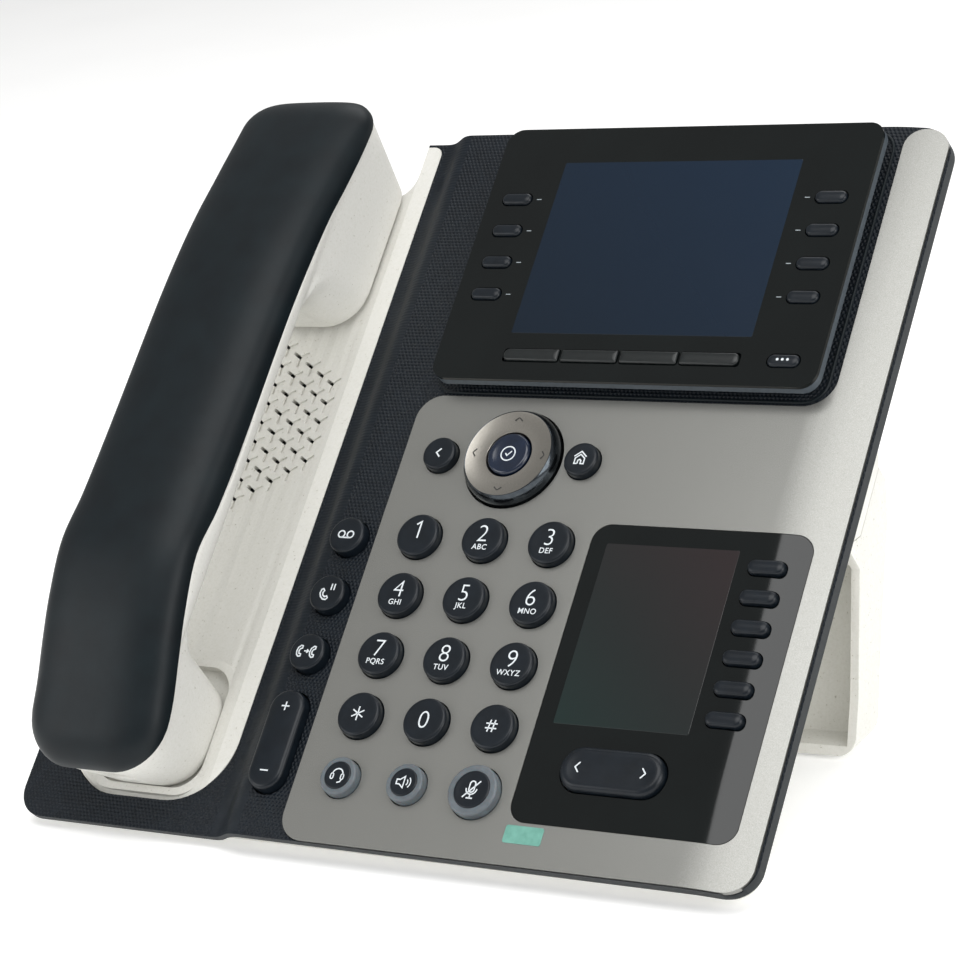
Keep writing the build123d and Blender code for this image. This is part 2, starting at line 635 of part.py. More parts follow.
# ------------------------------------------------------------------ stand and its feet
SEAM = HUMP_BACK - GAP
LEDGE = HUMP_FLOOR - GAP
STAND_SIDE = 2.5
STAND_CORNER = 5.0  # rounding of its two lower corners, seen from the front
stand_rear = [(46.5, -44.0), (39.2, -50.6), (11.9, -64.2), (-7.7, -74.9)]
heel_v = v_at_height(SOLE, -76.9)
toe_w = -67.3
toe_v = v_at_height(SOLE, toe_w)
with BuildPart() as stand:
    with BuildSketch(along(HUMP_LEFT)):
        with BuildLine():
            Polyline(
                (v_at_height(LEDGE, -33.4), -33.4), (v_at_height(LEDGE, SEAM), SEAM), (HUMP_SHOULDER, SEAM),
                *stand_rear, (heel_v, -76.9), (toe_v, toe_w), (-8.1, -61.0), (19.8, -43.2), close=True,
            )
        make_face()
    extrude(amount=HUMP_RIGHT - HUMP_LEFT)
    with BuildSketch(along(HUMP_LEFT + STAND_SIDE)):
        with BuildLine():
            plate_z = SOLE + STAND_SIDE
            Polyline(
                (10.0, SEAM - STAND_SIDE), (38.0, SEAM - STAND_SIDE), (37.9, -47.9),
                (10.5, -61.5), (-9.1, -72.0),
                (v_at_height(plate_z, -72.2), -72.2), (v_at_height(plate_z, -56.0), -56.0), close=True,
            )
        make_face()
    extrude(amount=HUMP_RIGHT - HUMP_LEFT - 2 * STAND_SIDE, mode=Mode.SUBTRACT)
    with BuildSketch(Plane.XZ):
        stand_left, stand_right = HUMP_LEFT - MIDDLE_U, HUMP_RIGHT - MIDDLE_U
        box_sketch(stand_left, FOOT_HEIGHT, stand_right, 2 * DESK_DROP, STAND_CORNER)
    extrude(amount=2 * DESK_DROP, both=True, mode=Mode.INTERSECT)
    hook_places = [(HOOK_MIDDLE + hook * HOOK_SPACING, HOOK_V) for hook in range(-1, 2)]
    with BuildSketch(level(SEAM - 1)):
        with Locations(*hook_places):
            Circle(HOOK_STUB)
    extrude(amount=HUMP_WALL + GAP + 1.5)
    with BuildSketch(level(HUMP_BACK + HUMP_WALL + 0.4)):
        with Locations(*hook_places):
            Circle(HOOK_HEAD)
    extrude(amount=1.8)
save(stand.part, "stand")

with BuildPart() as stand_feet:
    with BuildSketch(socket_plane(-DESK_DROP)):
        for u in (-75.0, 55.0):
            with Locations((u, 37.0)):
                RectangleRounded(40, 8, 3.9)
    extrude(amount=FOOT_HEIGHT)
save(stand_feet.part, "stand_feet")

# ------------------------------------------------------------------ boards, membrane and inner parts
with BuildPart() as circuit_boards:
    with BuildSketch(level(BOARD_TOP)):
        box_sketch(-46.0, -77.5, 84.5, 40.0)
        with Locations(right_screws[0]):
            Circle(4.0, mode=Mode.SUBTRACT)
    extrude(amount=-BOARD)
    with BuildSketch(level(BOARD_TOP - BOARD)):
        with Locations((20, -30)):
            Rectangle(22, 22)
        with Locations((-18, -34), (-18, -56)):
            Rectangle(12, 9)
    extrude(amount=-1.4)
    with BuildSketch(level(DECK + 0.2)):
        box_sketch(-24.0, 48.2, 77.8, 117.1, 3.0)
    extrude(amount=0.8)
    board_low = HUMP_FLOOR + HUMP_WALL + 0.6
    with BuildSketch(socket_plane(board_low)):
        box_sketch(-53.0, SOCKET_BACK + SEAT, 40.0, SOCKET_BACK + SEAT + BOARD)
    extrude(amount=26)
    for name, u, body, mouth in sockets:
        with BuildSketch(socket_plane(HUMP_FLOOR)):
            with Locations((u, SOCKET_BACK - body[1] / 2)):
                Rectangle(body[0], body[1])
        extrude(amount=body[2])
        with BuildSketch(socket_plane(HUMP_FLOOR)):
            with Locations((u, SOCKET_BACK - body[1] / 2)):
                Rectangle(mouth[0], mouth[1])
        extrude(amount=mouth[2], mode=Mode.SUBTRACT)
save(circuit_boards.part, "circuit_boards")

with BuildPart() as key_membrane:
    with BuildSketch(level(MEMBRANE_TOP)):
        box_sketch(-48.2, -78.0, 84.9, 40.0)
        with Locations(right_screws[0]):
            Circle(4.0, mode=Mode.SUBTRACT)
    extrude(amount=-MEMBRANE)
    with BuildSketch(level(0.6)):
        box_sketch(-24.0, 48.2, 77.8, 117.1, 3.0)
    extrude(amount=0.6)
save(key_membrane.part, "key_membrane")

with BuildPart() as loudspeaker:
    with BuildSketch(level(-11.0)):
        with Locations(GRILLE_AT):
            Circle(22)
    extrude(amount=-3)
    with BuildSketch(level(-14.0)):
        with Locations(GRILLE_AT):
            Circle(14)
    extrude(amount=-4.6)
    with BuildSketch(level(-11.0)):
        with Locations(GRILLE_AT):
            Circle(19)
    extrude(amount=-1.6, mode=Mode.SUBTRACT)
save(loudspeaker.part, "loudspeaker")

with BuildPart() as screws:
    with BuildSketch(level(BODY_BACK + 0.1)):
        with Locations(*SCREW_PLACES):
            Circle(SCREW_HEAD)
    extrude(amount=2.1)
    with BuildSketch(level(BODY_BACK + 2.2)):
        with Locations(*SCREW_PLACES):
            Circle(SCREW_SHANK)
    extrude(amount=9.6)
    with BuildSketch(level(BODY_BACK + 0.1)):
        with Locations(*SCREW_PLACES):
            Rectangle(3.2, 0.8)
            Rectangle(0.8, 3.2)
    extrude(amount=1.0, mode=Mode.SUBTRACT)
save(screws.part, "screws")

with BuildPart() as hook_switch:
    with BuildSketch(level(-15.0)):
        with Locations(HOOK_SWITCH_AT):
            Circle(4.2)
    extrude(amount=1.0)
    with BuildSketch(level(-14.0)):
        with Locations(HOOK_SWITCH_AT):
            Circle(HOOK_SWITCH_RADIUS)
    extrude(amount=8.5)
    fillet(hook_switch.faces().sort_by(outwards)[-1].edges(), 1.0)
save(hook_switch.part, "hook_switch")

# ------------------------------------------------------------------ keys


def key_solid(
    draw, top, flange_top, stem_end, at, stem=STEM_RADIUS, edge=KEY_EDGE, margin=FLANGE_MARGIN
):
    """A key: flange under the skin, cap through it, and a stem down to its dome."""
    with BuildPart() as key:
        with BuildSketch(level(flange_top)):
            draw(0.0)
        extrude(amount=top - flange_top)
        fillet(key.faces().sort_by(outwards)[-1].edges(), edge)
        with BuildSketch(level(flange_top)):
            draw(margin)
        extrude(amount=-FLANGE)
        if stem_end is not None:
            with BuildSketch(level(stem_end)):
                with Locations(at):
                    Circle(stem)
            extrude(amount=flange_top - FLANGE - stem_end)
    return key.part


def round_cap(at, radius):
    """A function that draws a round key's outline, grown by a margin."""

    def draw(margin):
        with Locations(at):
            Circle(radius + margin)

    return draw


def pill_cap(at, length, width, rotation=0):
    """A function that draws a pill-shaped key's outline, grown by a margin."""

    def draw(margin):
        with Locations(at):
            SlotOverall(length + 2 * margin, width + 2 * margin, rotation=rotation)

    return draw


for name, (u, v, radius) in round_keys.items():
    save(key_solid(round_cap((u, v), radius), KEY_TOP, FLANGE_TOP, STEM_END, (u, v)), name)

for index, place in enumerate(side_places):
    outline = pill_cap(place, *SIDE_KEY_SIZE)
    save(
        key_solid(outline, SIDE_KEY_TOP, SIDE_FLANGE_TOP, STEM_END, place, stem=1.5),
        f"side_key_{index + 1}",
    )


def module_key(draw, at, edge=KEY_EDGE):
    """A key of the main display module."""
    return key_solid(
        draw, MODULE_KEY_TOP, MODULE_FLANGE_TOP, MODULE_STEM_END, at, 1.2, edge, MODULE_FLANGE_MARGIN
    )


def soft_cap(at):
    """A function that draws a soft key's outline, grown by a margin."""

    def draw(margin):
        with Locations(at):
            RectangleRounded(SOFT_KEY_SIZE[0] + margin / 2, SOFT_KEY_SIZE[1] + 2 * margin, 0.8)

    return draw


for index, place in enumerate(line_places):
    save(module_key(pill_cap(place, *LINE_KEY_SIZE), place), f"line_key_{index + 1}")
for index, place in enumerate(soft_places):
    save(module_key(soft_cap(place), place, 0.4), f"soft_key_{index + 1}")
more_place = (MORE_KEY_U, SOFT_KEY_V)
save(module_key(pill_cap(more_place, *LINE_KEY_SIZE), more_place), "more_key")

VOLUME_FLANGE_TOP, PAGE_FLANGE_TOP = -4.3, -5.4
volume_cap = pill_cap(VOLUME, VOLUME_SIZE[1], VOLUME_SIZE[0], rotation=90)
save(key_solid(volume_cap, KEY_TOP, VOLUME_FLANGE_TOP, None, VOLUME), "volume_rocker")
save(key_solid(pill_cap(PAGE, *PAGE_SIZE), SIDE_KEY_TOP, PAGE_FLANGE_TOP, None, PAGE), "page_rocker")

NAV_FLANGE_TOP = -4.6
NAV_CHAMFER = 1.1
SELECT_BASE = -6.1
with BuildPart() as nav_ring:
    with BuildSketch(level(NAV_FLANGE_TOP)):
        with Locations(NAV):
            Circle(NAV_RADIUS)
    extrude(amount=NAV_TOP - NAV_FLANGE_TOP)
    chamfer(nav_ring.faces().sort_by(outwards)[-1].edges(), NAV_CHAMFER)
    with BuildSketch(level(NAV_FLANGE_TOP)):
        with Locations(NAV):
            Circle(NAV_RADIUS + FLANGE_MARGIN)
    extrude(amount=-FLANGE)
    with BuildSketch(level(STEM_END)):
        with Locations(NAV):
            with PolarLocations(10, 4):
                Circle(1.5)
    extrude(amount=NAV_FLANGE_TOP - FLANGE - STEM_END)
    with BuildSketch(level(-10)):
        with Locations(NAV):
            Circle(SELECT_RADIUS + 0.5)
    extrude(amount=20, mode=Mode.SUBTRACT)
save(nav_ring.part, "nav_ring")

with BuildPart() as select_key:
    with BuildSketch(level(SELECT_BASE)):
        with Locations(NAV):
            Circle(SELECT_RADIUS)
    extrude(amount=NAV_TOP - SELECT_BASE)
    fillet(select_key.faces().sort_by(outwards)[-1].edges(), KEY_EDGE)
    with BuildSketch(level(SELECT_BASE)):
        with Locations(NAV):
            Circle(SELECT_RADIUS + 1.2)
    extrude(amount=-0.7)
save(select_key.part, "select_key")

# ------------------------------------------------------------------ handset
SEAM_END = -88.0  # the seam is drawn past the lower end of the handset
seam_line = [
    (126.0, 20.0), (108.0, 20.9), (94.0, 22.7), (81.0, 25.2), (67.0, 26.5), (53.0, 27.3), (25.0, 27.5),
    (-9.0, 28.1), (-23.0, 30.0), (-38.0, 26.5), (-49.0, 22.6), (-60.0, 18.7), (-70.0, 16.9), (SEAM_END, 14.9),
]
back_line = [
    (126.0, 24.0), (108.0, 29.0), (94.0, 31.8), (67.0, 35.4), (25.0, 36.6), (-9.0, 37.2), (-24.0, 38.0),
    (-38.0, 35.4), (-60.0, 27.6), (SEAM_END, 18.4),
]
HALF = HANDSET_WIDTH / 2
EAR_LOW, EAR_BOTTOM = -5.2, (65.2, 111.5)
MOUTH_LOW, MOUTH_BOTTOM = -8.5, (-71.8, -43.0)
BLOCK_HIGH = 33.0
EAR_HIGH, MOUTH_HIGH = (55.0, 123.5), (-82.5, -38.0)
EAR_HALF, MOUTH_HALF = 18.9, 16.5  # half widths of their low faces
BLOCK_HALF = HALF - 0.6  # the blocks stay a little inside the grip's sides
EAR_CORNERS, MOUTH_CORNERS = (11.0, 5.0), (11.5, 9.0)  # at the lower and the upper end of each
GRIP_TOP, GRIP_BOTTOM = 112.0, -45.0
GRIP_CORNER = 6.5
COVER_BOTTOM, COVER_TOP = -78.7, 122.0
COVER_CORNER = 10.0
COVER_RIM = 4.0
EARPIECE_V, MOUTHPIECE_V = 87.0, -54.0


def block_loft(low, low_span, low_half, high_span, corners, inset=0.0):
    """Ear or mouth block: a rounded outline that grows from its low face to the handset's width."""
    sections = []
    for w, span, half in ((low + inset, low_span, low_half), (BLOCK_HIGH, high_span, BLOCK_HALF)):
        with BuildSketch(level(w)) as section:
            left, right = HANDSET_U - half + inset, HANDSET_U + half - inset
            box_sketch(left, span[0] + inset, right, span[1] - inset)
            fillet(section.vertices().sort_by(Axis.Y)[:2], corners[0] - inset)
            fillet(section.vertices().sort_by(Axis.Y)[-2:], corners[1] - inset)
        sections.append(section.sketch)
    loft(sections)


with BuildPart() as over_seam:
    with BuildSketch(along(HANDSET_U - HALF - 5)):
        with BuildLine():
            seam = Spline(*seam_line)
            Polyline(seam @ 0, (126, 60), (SEAM_END, 60), seam @ 1)
        make_face()
    extrude(amount=HANDSET_WIDTH + 10)

with BuildPart() as handset_hollow:
    block_loft(EAR_LOW, EAR_BOTTOM, EAR_HALF, EAR_HIGH, EAR_CORNERS, HANDSET_WALL)
    block_loft(MOUTH_LOW, MOUTH_BOTTOM, MOUTH_HALF, MOUTH_HIGH, MOUTH_CORNERS, HANDSET_WALL)
    with BuildSketch(across(GRIP_TOP - 12)):
        with Locations((HANDSET_U, GRIP_UNDERSIDE + HANDSET_WALL + 12)):
            RectangleRounded(HANDSET_WIDTH - 3 * HANDSET_WALL, 24, GRIP_CORNER - 2)
    extrude(amount=GRIP_TOP - 12 - GRIP_BOTTOM)

with BuildPart() as handset_shell:
    block_loft(EAR_LOW, EAR_BOTTOM, EAR_HALF, EAR_HIGH, EAR_CORNERS)
    block_loft(MOUTH_LOW, MOUTH_BOTTOM, MOUTH_HALF, MOUTH_HIGH, MOUTH_CORNERS)
    with BuildSketch(across(GRIP_TOP)):
        with Locations((HANDSET_U, GRIP_UNDERSIDE + 12)):
            RectangleRounded(HANDSET_WIDTH, 24, GRIP_CORNER)
    extrude(amount=GRIP_TOP - GRIP_BOTTOM)
    add(handset_hollow.part, mode=Mode.SUBTRACT)
    with BuildSketch(across(CORD_SOCKET_BACK + HANDSET_WALL)):
        with Locations((HANDSET_U, CORD_SOCKET_W)):
            Rectangle(14, 13)
    extrude(amount=9.6)
    with BuildSketch(across(CORD_SOCKET_BACK)):
        with Locations((HANDSET_U, CORD_SOCKET_W)):
            Rectangle(7.8, 8.8)
    extrude(amount=20, mode=Mode.SUBTRACT)
    with BuildSketch(level(-12)):
        with Locations((HANDSET_U, EARPIECE_V)):
            Circle(1.0)
            with PolarLocations(6, 6):
                Circle(1.0)
        with Locations((HANDSET_U, MOUTHPIECE_V)):
            with PolarLocations(3, 3):
                Circle(0.8)
    extrude(amount=12, mode=Mode.SUBTRACT)
    add(over_seam.part, mode=Mode.SUBTRACT)
save(handset_shell.part, "handset_shell")

with BuildPart() as cover_hollow:
    with BuildSketch(along(HANDSET_U - HALF + COVER_RIM)):
        with BuildLine():
            low = Spline(*[(v, w - 2) for v, w in seam_line])
            high = Spline(*[(v, w - HANDSET_WALL) for v, w in back_line])
            Line(low @ 0, high @ 0)
            Line(low @ 1, high @ 1)
        make_face()
    extrude(amount=HANDSET_WIDTH - 2 * COVER_RIM)
    with BuildSketch(level(0)):
        box_sketch(
            HANDSET_U - HALF + COVER_RIM, COVER_BOTTOM + COVER_RIM,
            HANDSET_U + HALF - COVER_RIM, COVER_TOP - COVER_RIM, COVER_CORNER - COVER_RIM,
        )
    extrude(amount=60, mode=Mode.INTERSECT)

with BuildPart() as handset_cover:
    with BuildSketch(along(HANDSET_U - HALF)):
        with BuildLine():
            low = Spline(*[(v, w + 0.05) for v, w in seam_line])
            high = Spline(*back_line)
            Line(low @ 0, high @ 0)
            Line(low @ 1, high @ 1)
        make_face()
    extrude(amount=HANDSET_WIDTH)
    with BuildSketch(level(0)):
        box_sketch(HANDSET_U - HALF, COVER_BOTTOM, HANDSET_U + HALF, COVER_TOP, COVER_CORNER)
    extrude(amount=60, mode=Mode.INTERSECT)
    fillet(handset_cover.faces().sort_by(outwards)[-1].edges(), COVER_RIM)
    add(cover_hollow.part, mode=Mode.SUBTRACT)
save(handset_cover.part, "handset_cover")

with BuildPart() as handset_capsules:
    with BuildSketch(level(EAR_LOW + HANDSET_WALL + 0.2)):
        with Locations((HANDSET_U, EARPIECE_V)):
            Circle(14)
    extrude(amount=8)
    with BuildSketch(level(MOUTH_LOW + HANDSET_WALL + 0.2)):
        with Locations((HANDSET_U, MOUTHPIECE_V)):
            Circle(4.9)
    extrude(amount=4.5)
save(handset_capsules.part, "handset_capsules")
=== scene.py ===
import json
from math import cos, pi, radians, sin, sqrt

import bmesh
import bpy
from mathutils import Matrix, Vector


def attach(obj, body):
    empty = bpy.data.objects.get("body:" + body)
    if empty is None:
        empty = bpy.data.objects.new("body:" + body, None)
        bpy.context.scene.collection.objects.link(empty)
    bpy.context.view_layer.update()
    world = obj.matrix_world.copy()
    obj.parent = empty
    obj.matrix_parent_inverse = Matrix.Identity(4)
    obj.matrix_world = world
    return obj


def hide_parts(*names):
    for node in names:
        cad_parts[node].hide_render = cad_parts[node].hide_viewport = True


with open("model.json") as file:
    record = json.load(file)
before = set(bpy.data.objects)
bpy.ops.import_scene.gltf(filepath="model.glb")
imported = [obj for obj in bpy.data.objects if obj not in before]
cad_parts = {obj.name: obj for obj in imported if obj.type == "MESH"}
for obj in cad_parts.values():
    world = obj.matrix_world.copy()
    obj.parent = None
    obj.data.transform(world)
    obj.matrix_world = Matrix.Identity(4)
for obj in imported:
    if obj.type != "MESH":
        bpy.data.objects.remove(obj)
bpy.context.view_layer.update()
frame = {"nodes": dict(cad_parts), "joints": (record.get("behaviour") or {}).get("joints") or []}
MM = 0.001

# ---------------------------------------------------------------- the face of the phone
# u runs right, v up the face and w out of it, in millimetres; w = 0 is the faceplate's surface.
joints = {j["name"]: j for j in frame["joints"]}
out = Vector(joints["handset_lift"]["axis"])
right = Vector((1, 0, 0))
up = out.cross(right)
rocker = Vector(joints["volume_rocker_rock"]["pos_m"])
VOLUME_AT = (-41.4, -59.5, -1.5)
origin = rocker - (right * VOLUME_AT[0] + up * VOLUME_AT[1] + out * VOLUME_AT[2]) * MM
FACE = Matrix.Translation(origin) @ Matrix((right, up, out)).transposed().to_4x4() @ Matrix.Scale(MM, 4)
TO_FACE = FACE.inverted()


def at(u, v, w):
    """World place of a point on the face."""
    return FACE @ Vector((u, v, w))


# ---------------------------------------------------------------- materials
def srgb(code):
    """Linear colour of a hex code."""
    parts = [int(code[i:i + 2], 16) / 255 for i in (0, 2, 4)]
    return [p / 12.92 if p <= 0.04045 else ((p + 0.055) / 1.055) ** 2.4 for p in parts] + [1.0]


class Shader:
    """A Principled material with helpers for its nodes."""

    def __init__(self, name, rough=0.4, metal=0.0, coat=0.0, specular=0.5):
        self.material = bpy.data.materials.new(name)
        self.material.use_nodes = True
        self.nodes = self.material.node_tree.nodes
        self.links = self.material.node_tree.links
        self.bsdf = self.nodes["Principled BSDF"]
        self.bsdf.inputs["Roughness"].default_value = rough
        self.bsdf.inputs["Metallic"].default_value = metal
        self.bsdf.inputs["Coat Weight"].default_value = coat
        self.bsdf.inputs["Coat Roughness"].default_value = 0.06
        self.bsdf.inputs["Specular IOR Level"].default_value = specular
        coords = self.nodes.new("ShaderNodeTexCoord")
        face_place = self.nodes.new("ShaderNodeMapping")
        face_place.inputs["Location"].default_value = TO_FACE.to_translation()
        face_place.inputs["Rotation"].default_value = TO_FACE.to_euler()
        face_place.inputs["Scale"].default_value = (1 / MM,) * 3
        self.links.new(coords.outputs["Object"], face_place.inputs["Vector"])
        self.place = face_place.outputs["Vector"]

    def noise(self, scale, detail=3.0, rough=0.5):
        """Noise over the face's millimetres; scale is features per millimetre."""
        node = self.nodes.new("ShaderNodeTexNoise")
        node.inputs["Scale"].default_value = scale
        node.inputs["Detail"].default_value = detail
        node.inputs["Roughness"].default_value = rough
        self.links.new(self.place, node.inputs["Vector"])
        return node.outputs["Fac"]

    def vector(self, operation, source, value):
        """Vector maths with a constant."""
        node = self.nodes.new("ShaderNodeVectorMath")
        node.operation = operation
        self.links.new(source, node.inputs[0])
        node.inputs[1].default_value = value
        return node.outputs["Value" if operation == "DOT_PRODUCT" else "Vector"]

    def math(self, operation, first, second=0.0):
        """Maths on sockets or numbers."""
        node = self.nodes.new("ShaderNodeMath")
        node.operation = operation
        for socket, value in zip(node.inputs, (first, second)):
            if isinstance(value, (int, float)):
                socket.default_value = value
            else:
                self.links.new(value, socket)
        return node.outputs[0]

    def ramp(self, factor, stops):
        """Colour ramp; stops are (position, hex code)."""
        node = self.nodes.new("ShaderNodeValToRGB")
        while len(node.color_ramp.elements) < len(stops):
            node.color_ramp.elements.new(0.5)
        for element, (position, code) in zip(node.color_ramp.elements, stops):
            element.position = position
            element.color = srgb(code)
        self.links.new(factor, node.inputs[0])
        return node.outputs["Color"]

    def span(self, factor, low, high):
        """A varying factor brought to the range low to high."""
        node = self.nodes.new("ShaderNodeMapRange")
        node.inputs["To Min"].default_value = low
        node.inputs["To Max"].default_value = high
        self.links.new(factor, node.inputs["Value"])
        return node.outputs["Result"]

    def colour(self, factor, stops):
        """Base colour from a ramp."""
        self.links.new(self.ramp(factor, stops), self.bsdf.inputs["Base Color"])

    def bump(self, height, depth, strength=1.0):
        """Bump from a height; depth in millimetres."""
        node = self.nodes.new("ShaderNodeBump")
        node.inputs["Strength"].default_value = strength
        node.inputs["Distance"].default_value = depth * MM
        self.links.new(height, node.inputs["Height"])
        self.links.new(node.outputs["Normal"], self.bsdf.inputs["Normal"])

    def roughness(self, factor, low, high):
        """Roughness varied by a factor."""
        self.links.new(self.span(factor, low, high), self.bsdf.inputs["Roughness"])


SCALE_PITCH, RIB_PITCH = 1.15, 0.9


def hex_height(shader, pitch):
    """Height field of small hexagonal scales of one pitch, from three crossed waves."""
    wave = 4 * pi / (sqrt(3) * pitch)
    total = None
    for turn in (90, 210, 330):
        direction = (wave * cos(radians(turn)), wave * sin(radians(turn)), 0)
        ridge = shader.math("COSINE", shader.vector("DOT_PRODUCT", shader.place, direction))
        total = ridge if total is None else shader.math("ADD", total, ridge)
    return total


def navy_textured():
    s = Shader("navy_textured", rough=0.5, specular=0.25)
    s.colour(s.noise(0.35), [(0.3, "0d141b"), (0.7, "121a22")])
    grain = s.math("MULTIPLY", s.noise(6), 0.7)
    s.bump(s.math("ADD", hex_height(s, SCALE_PITCH), grain), 0.10, 0.8)
    s.roughness(s.noise(1.2), 0.42, 0.56)
    return s.material


def navy_ribbed():
    s = Shader("navy_ribbed", rough=0.5, specular=0.25)
    s.colour(s.noise(0.3), [(0.3, "0e151c"), (0.7, "131b23")])
    ribs = s.math("COSINE", s.vector("DOT_PRODUCT", s.place, (0, 2 * pi / RIB_PITCH, 0)))
    s.bump(ribs, 0.05, 0.4)
    s.roughness(s.noise(1.0), 0.42, 0.55)
    return s.material


def navy_smooth():
    s = Shader("navy_smooth", rough=0.45, specular=0.22)
    s.colour(s.noise(0.12, 4), [(0.3, "0c1317"), (0.7, "10191d")])
    s.bump(s.noise(9, 2), 0.02, 0.35)
    s.roughness(s.noise(0.6), 0.40, 0.49)
    return s.material


def key_navy():
    s = Shader("key_navy", rough=0.32, specular=0.3)
    s.colour(s.noise(0.25), [(0.3, "0c1218"), (0.7, "11181f")])
    s.bump(s.noise(7, 2), 0.012, 0.3)
    s.roughness(s.noise(0.8), 0.27, 0.36)
    return s.material


def key_ring():
    s = Shader("key_ring", rough=0.4)
    s.colour(s.noise(0.4), [(0.3, "555c61"), (0.7, "62696e")])
    s.bump(s.noise(6, 2), 0.01, 0.3)
    s.bsdf.inputs["Subsurface Weight"].default_value = 0.25
    s.bsdf.inputs["Subsurface Scale"].default_value = 0.001
    return s.material


def silver():
    s = Shader("silver", rough=0.33, metal=0.7, specular=0.5)
    flake = s.noise(6, 3)
    s.colour(flake, [(0.3, "7d7d79"), (0.7, "9b9b97")])
    s.bump(flake, 0.02, 0.5)
    s.roughness(s.noise(3), 0.28, 0.38)
    return s.material


def nav_metal():
    s = Shader("nav_metal", rough=0.3, metal=0.9)
    s.colour(s.noise(5), [(0.3, "8b8881"), (0.7, "9d9992")])
    s.bump(s.noise(9, 2), 0.01, 0.35)
    return s.material


def nav_rim():
    s = Shader("nav_rim", rough=0.16, metal=0.95)
    s.colour(s.noise(1.0), [(0.3, "3c4146"), (0.7, "4a4f53")])
    s.roughness(s.noise(2), 0.12, 0.2)
    return s.material


def engraving():
    s = Shader("engraving", rough=0.45, metal=0.6)
    s.colour(s.noise(2.0), [(0.3, "3a3a38"), (0.7, "4a4947")])
    return s.material


def cream():
    s = Shader("cream", rough=0.42, specular=0.45)
    specks = s.noise(1.3, 2, 0.7)
    s.colour(specks, [(0.26, "aeaa9e"), (0.31, "deddd6"), (0.5, "e2e1db"), (0.75, "e6e5e0")])
    s.bump(s.noise(5, 3), 0.03, 0.35)
    s.roughness(s.noise(0.9), 0.38, 0.48)
    return s.material


def grey_satin():
    s = Shader("grey_satin", rough=0.38, metal=0.1)
    s.colour(s.noise(0.8), [(0.3, "454d54"), (0.7, "50585f")])
    s.bump(s.noise(7, 2), 0.012, 0.35)
    return s.material


def lens_black():
    s = Shader("lens_black", rough=0.06, specular=0.4)
    s.colour(s.noise(0.05), [(0.3, "060a0a"), (0.7, "090e0e")])
    s.roughness(s.noise(0.15), 0.05, 0.08)
    return s.material


def screen(name, corner, direction, stops):
    """An unlit display; its tint drifts from a corner along a direction over the face."""
    s = Shader(name, rough=0.14, specular=0.4)
    drift = s.vector("DOT_PRODUCT", s.vector("SUBTRACT", s.place, corner), direction)
    drift = s.math("ADD", drift, s.math("MULTIPLY", s.noise(0.02), 0.12))
    s.colour(s.span(drift, 0.0, 1.0), stops)
    s.roughness(s.noise(0.1), 0.12, 0.16)
    return s.material


def soft_black():
    s = Shader("soft_black", rough=0.3, specular=0.45)
    s.colour(s.noise(0.5), [(0.3, "0e1213"), (0.7, "141919")])
    s.bump(s.noise(6, 2), 0.01, 0.3)
    return s.material


def select_blue():
    s = Shader("select_blue", rough=0.14, specular=0.6)
    s.colour(s.noise(0.2), [(0.3, "0d1728"), (0.7, "121f34")])
    s.roughness(s.noise(1.0), 0.11, 0.18)
    return s.material


def print_white():
    s = Shader("print_white", rough=0.5)
    s.colour(s.noise(2), [(0.3, "c9d0d4"), (0.7, "dfe4e7")])
    return s.material


def print_grey():
    s = Shader("print_grey", rough=0.5)
    s.colour(s.noise(2), [(0.3, "8e979c"), (0.7, "a4adb1")])
    return s.material


def rubber():
    s = Shader("rubber", rough=0.75, specular=0.3)
    s.colour(s.noise(0.8), [(0.3, "1b1c1d"), (0.7, "242526")])
    s.bump(s.noise(3, 3), 0.05, 0.5)
    return s.material


def steel():
    s = Shader("steel", rough=0.3, metal=1.0)
    s.colour(s.noise(2), [(0.3, "85878a"), (0.7, "9c9ea1")])
    s.bump(s.noise(6, 2), 0.01, 0.3)
    return s.material


def board_green():
    s = Shader("board_green", rough=0.35)
    s.colour(s.noise(0.9), [(0.3, "12402a"), (0.7, "1b5236")])
    s.bump(s.noise(2.5), 0.03, 0.4)
    return s.material


def socket_black():
    s = Shader("socket_black", rough=0.4)
    s.colour(s.noise(0.9), [(0.3, "17191a"), (0.7, "202224")])
    s.bump(s.noise(5), 0.02, 0.4)
    return s.material


def silicone():
    s = Shader("silicone", rough=0.6)
    s.colour(s.noise(0.7), [(0.3, "b9bab8"), (0.7, "c6c7c5")])
    s.bump(s.noise(4), 0.02, 0.4)
    return s.material


def tab_green():
    s = Shader("tab_green", rough=0.35, coat=0.4)
    s.colour(s.noise(0.5), [(0.3, "5f9789"), (0.7, "6fa89a")])
    s.bump(s.noise(1.2), 0.03, 0.4)
    return s.material


def floor_white():
    s = Shader("floor_white", rough=0.8, specular=0.2)
    s.colour(s.noise(0.01), [(0.3, "f6f6f5"), (0.7, "f9f9f8")])
    s.bsdf.inputs["Emission Color"].default_value = (1.0, 1.0, 1.0, 1.0)
    s.bsdf.inputs["Emission Strength"].default_value = 0.3
    return s.material


MATERIALS = {make.__name__: make() for make in (
    navy_textured, navy_ribbed, navy_smooth, key_navy, key_ring, silver, nav_metal, nav_rim, engraving,
    cream, grey_satin, lens_black, soft_black, select_blue, print_white, print_grey, rubber, steel,
    board_green, socket_black, silicone, tab_green, floor_white,
)}
# visible area of each display: left, bottom, right, top
MAIN_SCREEN = (-7.9, 57.7, 61.9, 110.6)
SIDE_SCREEN = (34.6, -47.4, 71.4, 1.7)
MATERIALS["main_screen"] = screen(
    "main_screen", (*MAIN_SCREEN[:2], 0.0), (0.007, 0.009, 0.0), [(0.0, "091724"), (1.0, "0c1f32")]
)
MATERIALS["side_screen"] = screen(
    "side_screen", (*SIDE_SCREEN[:2], 0.0), (0.0109, 0.0122, 0.0),
    [(0.0, "182826"), (0.5, "1d2121"), (1.0, "272021")],
)


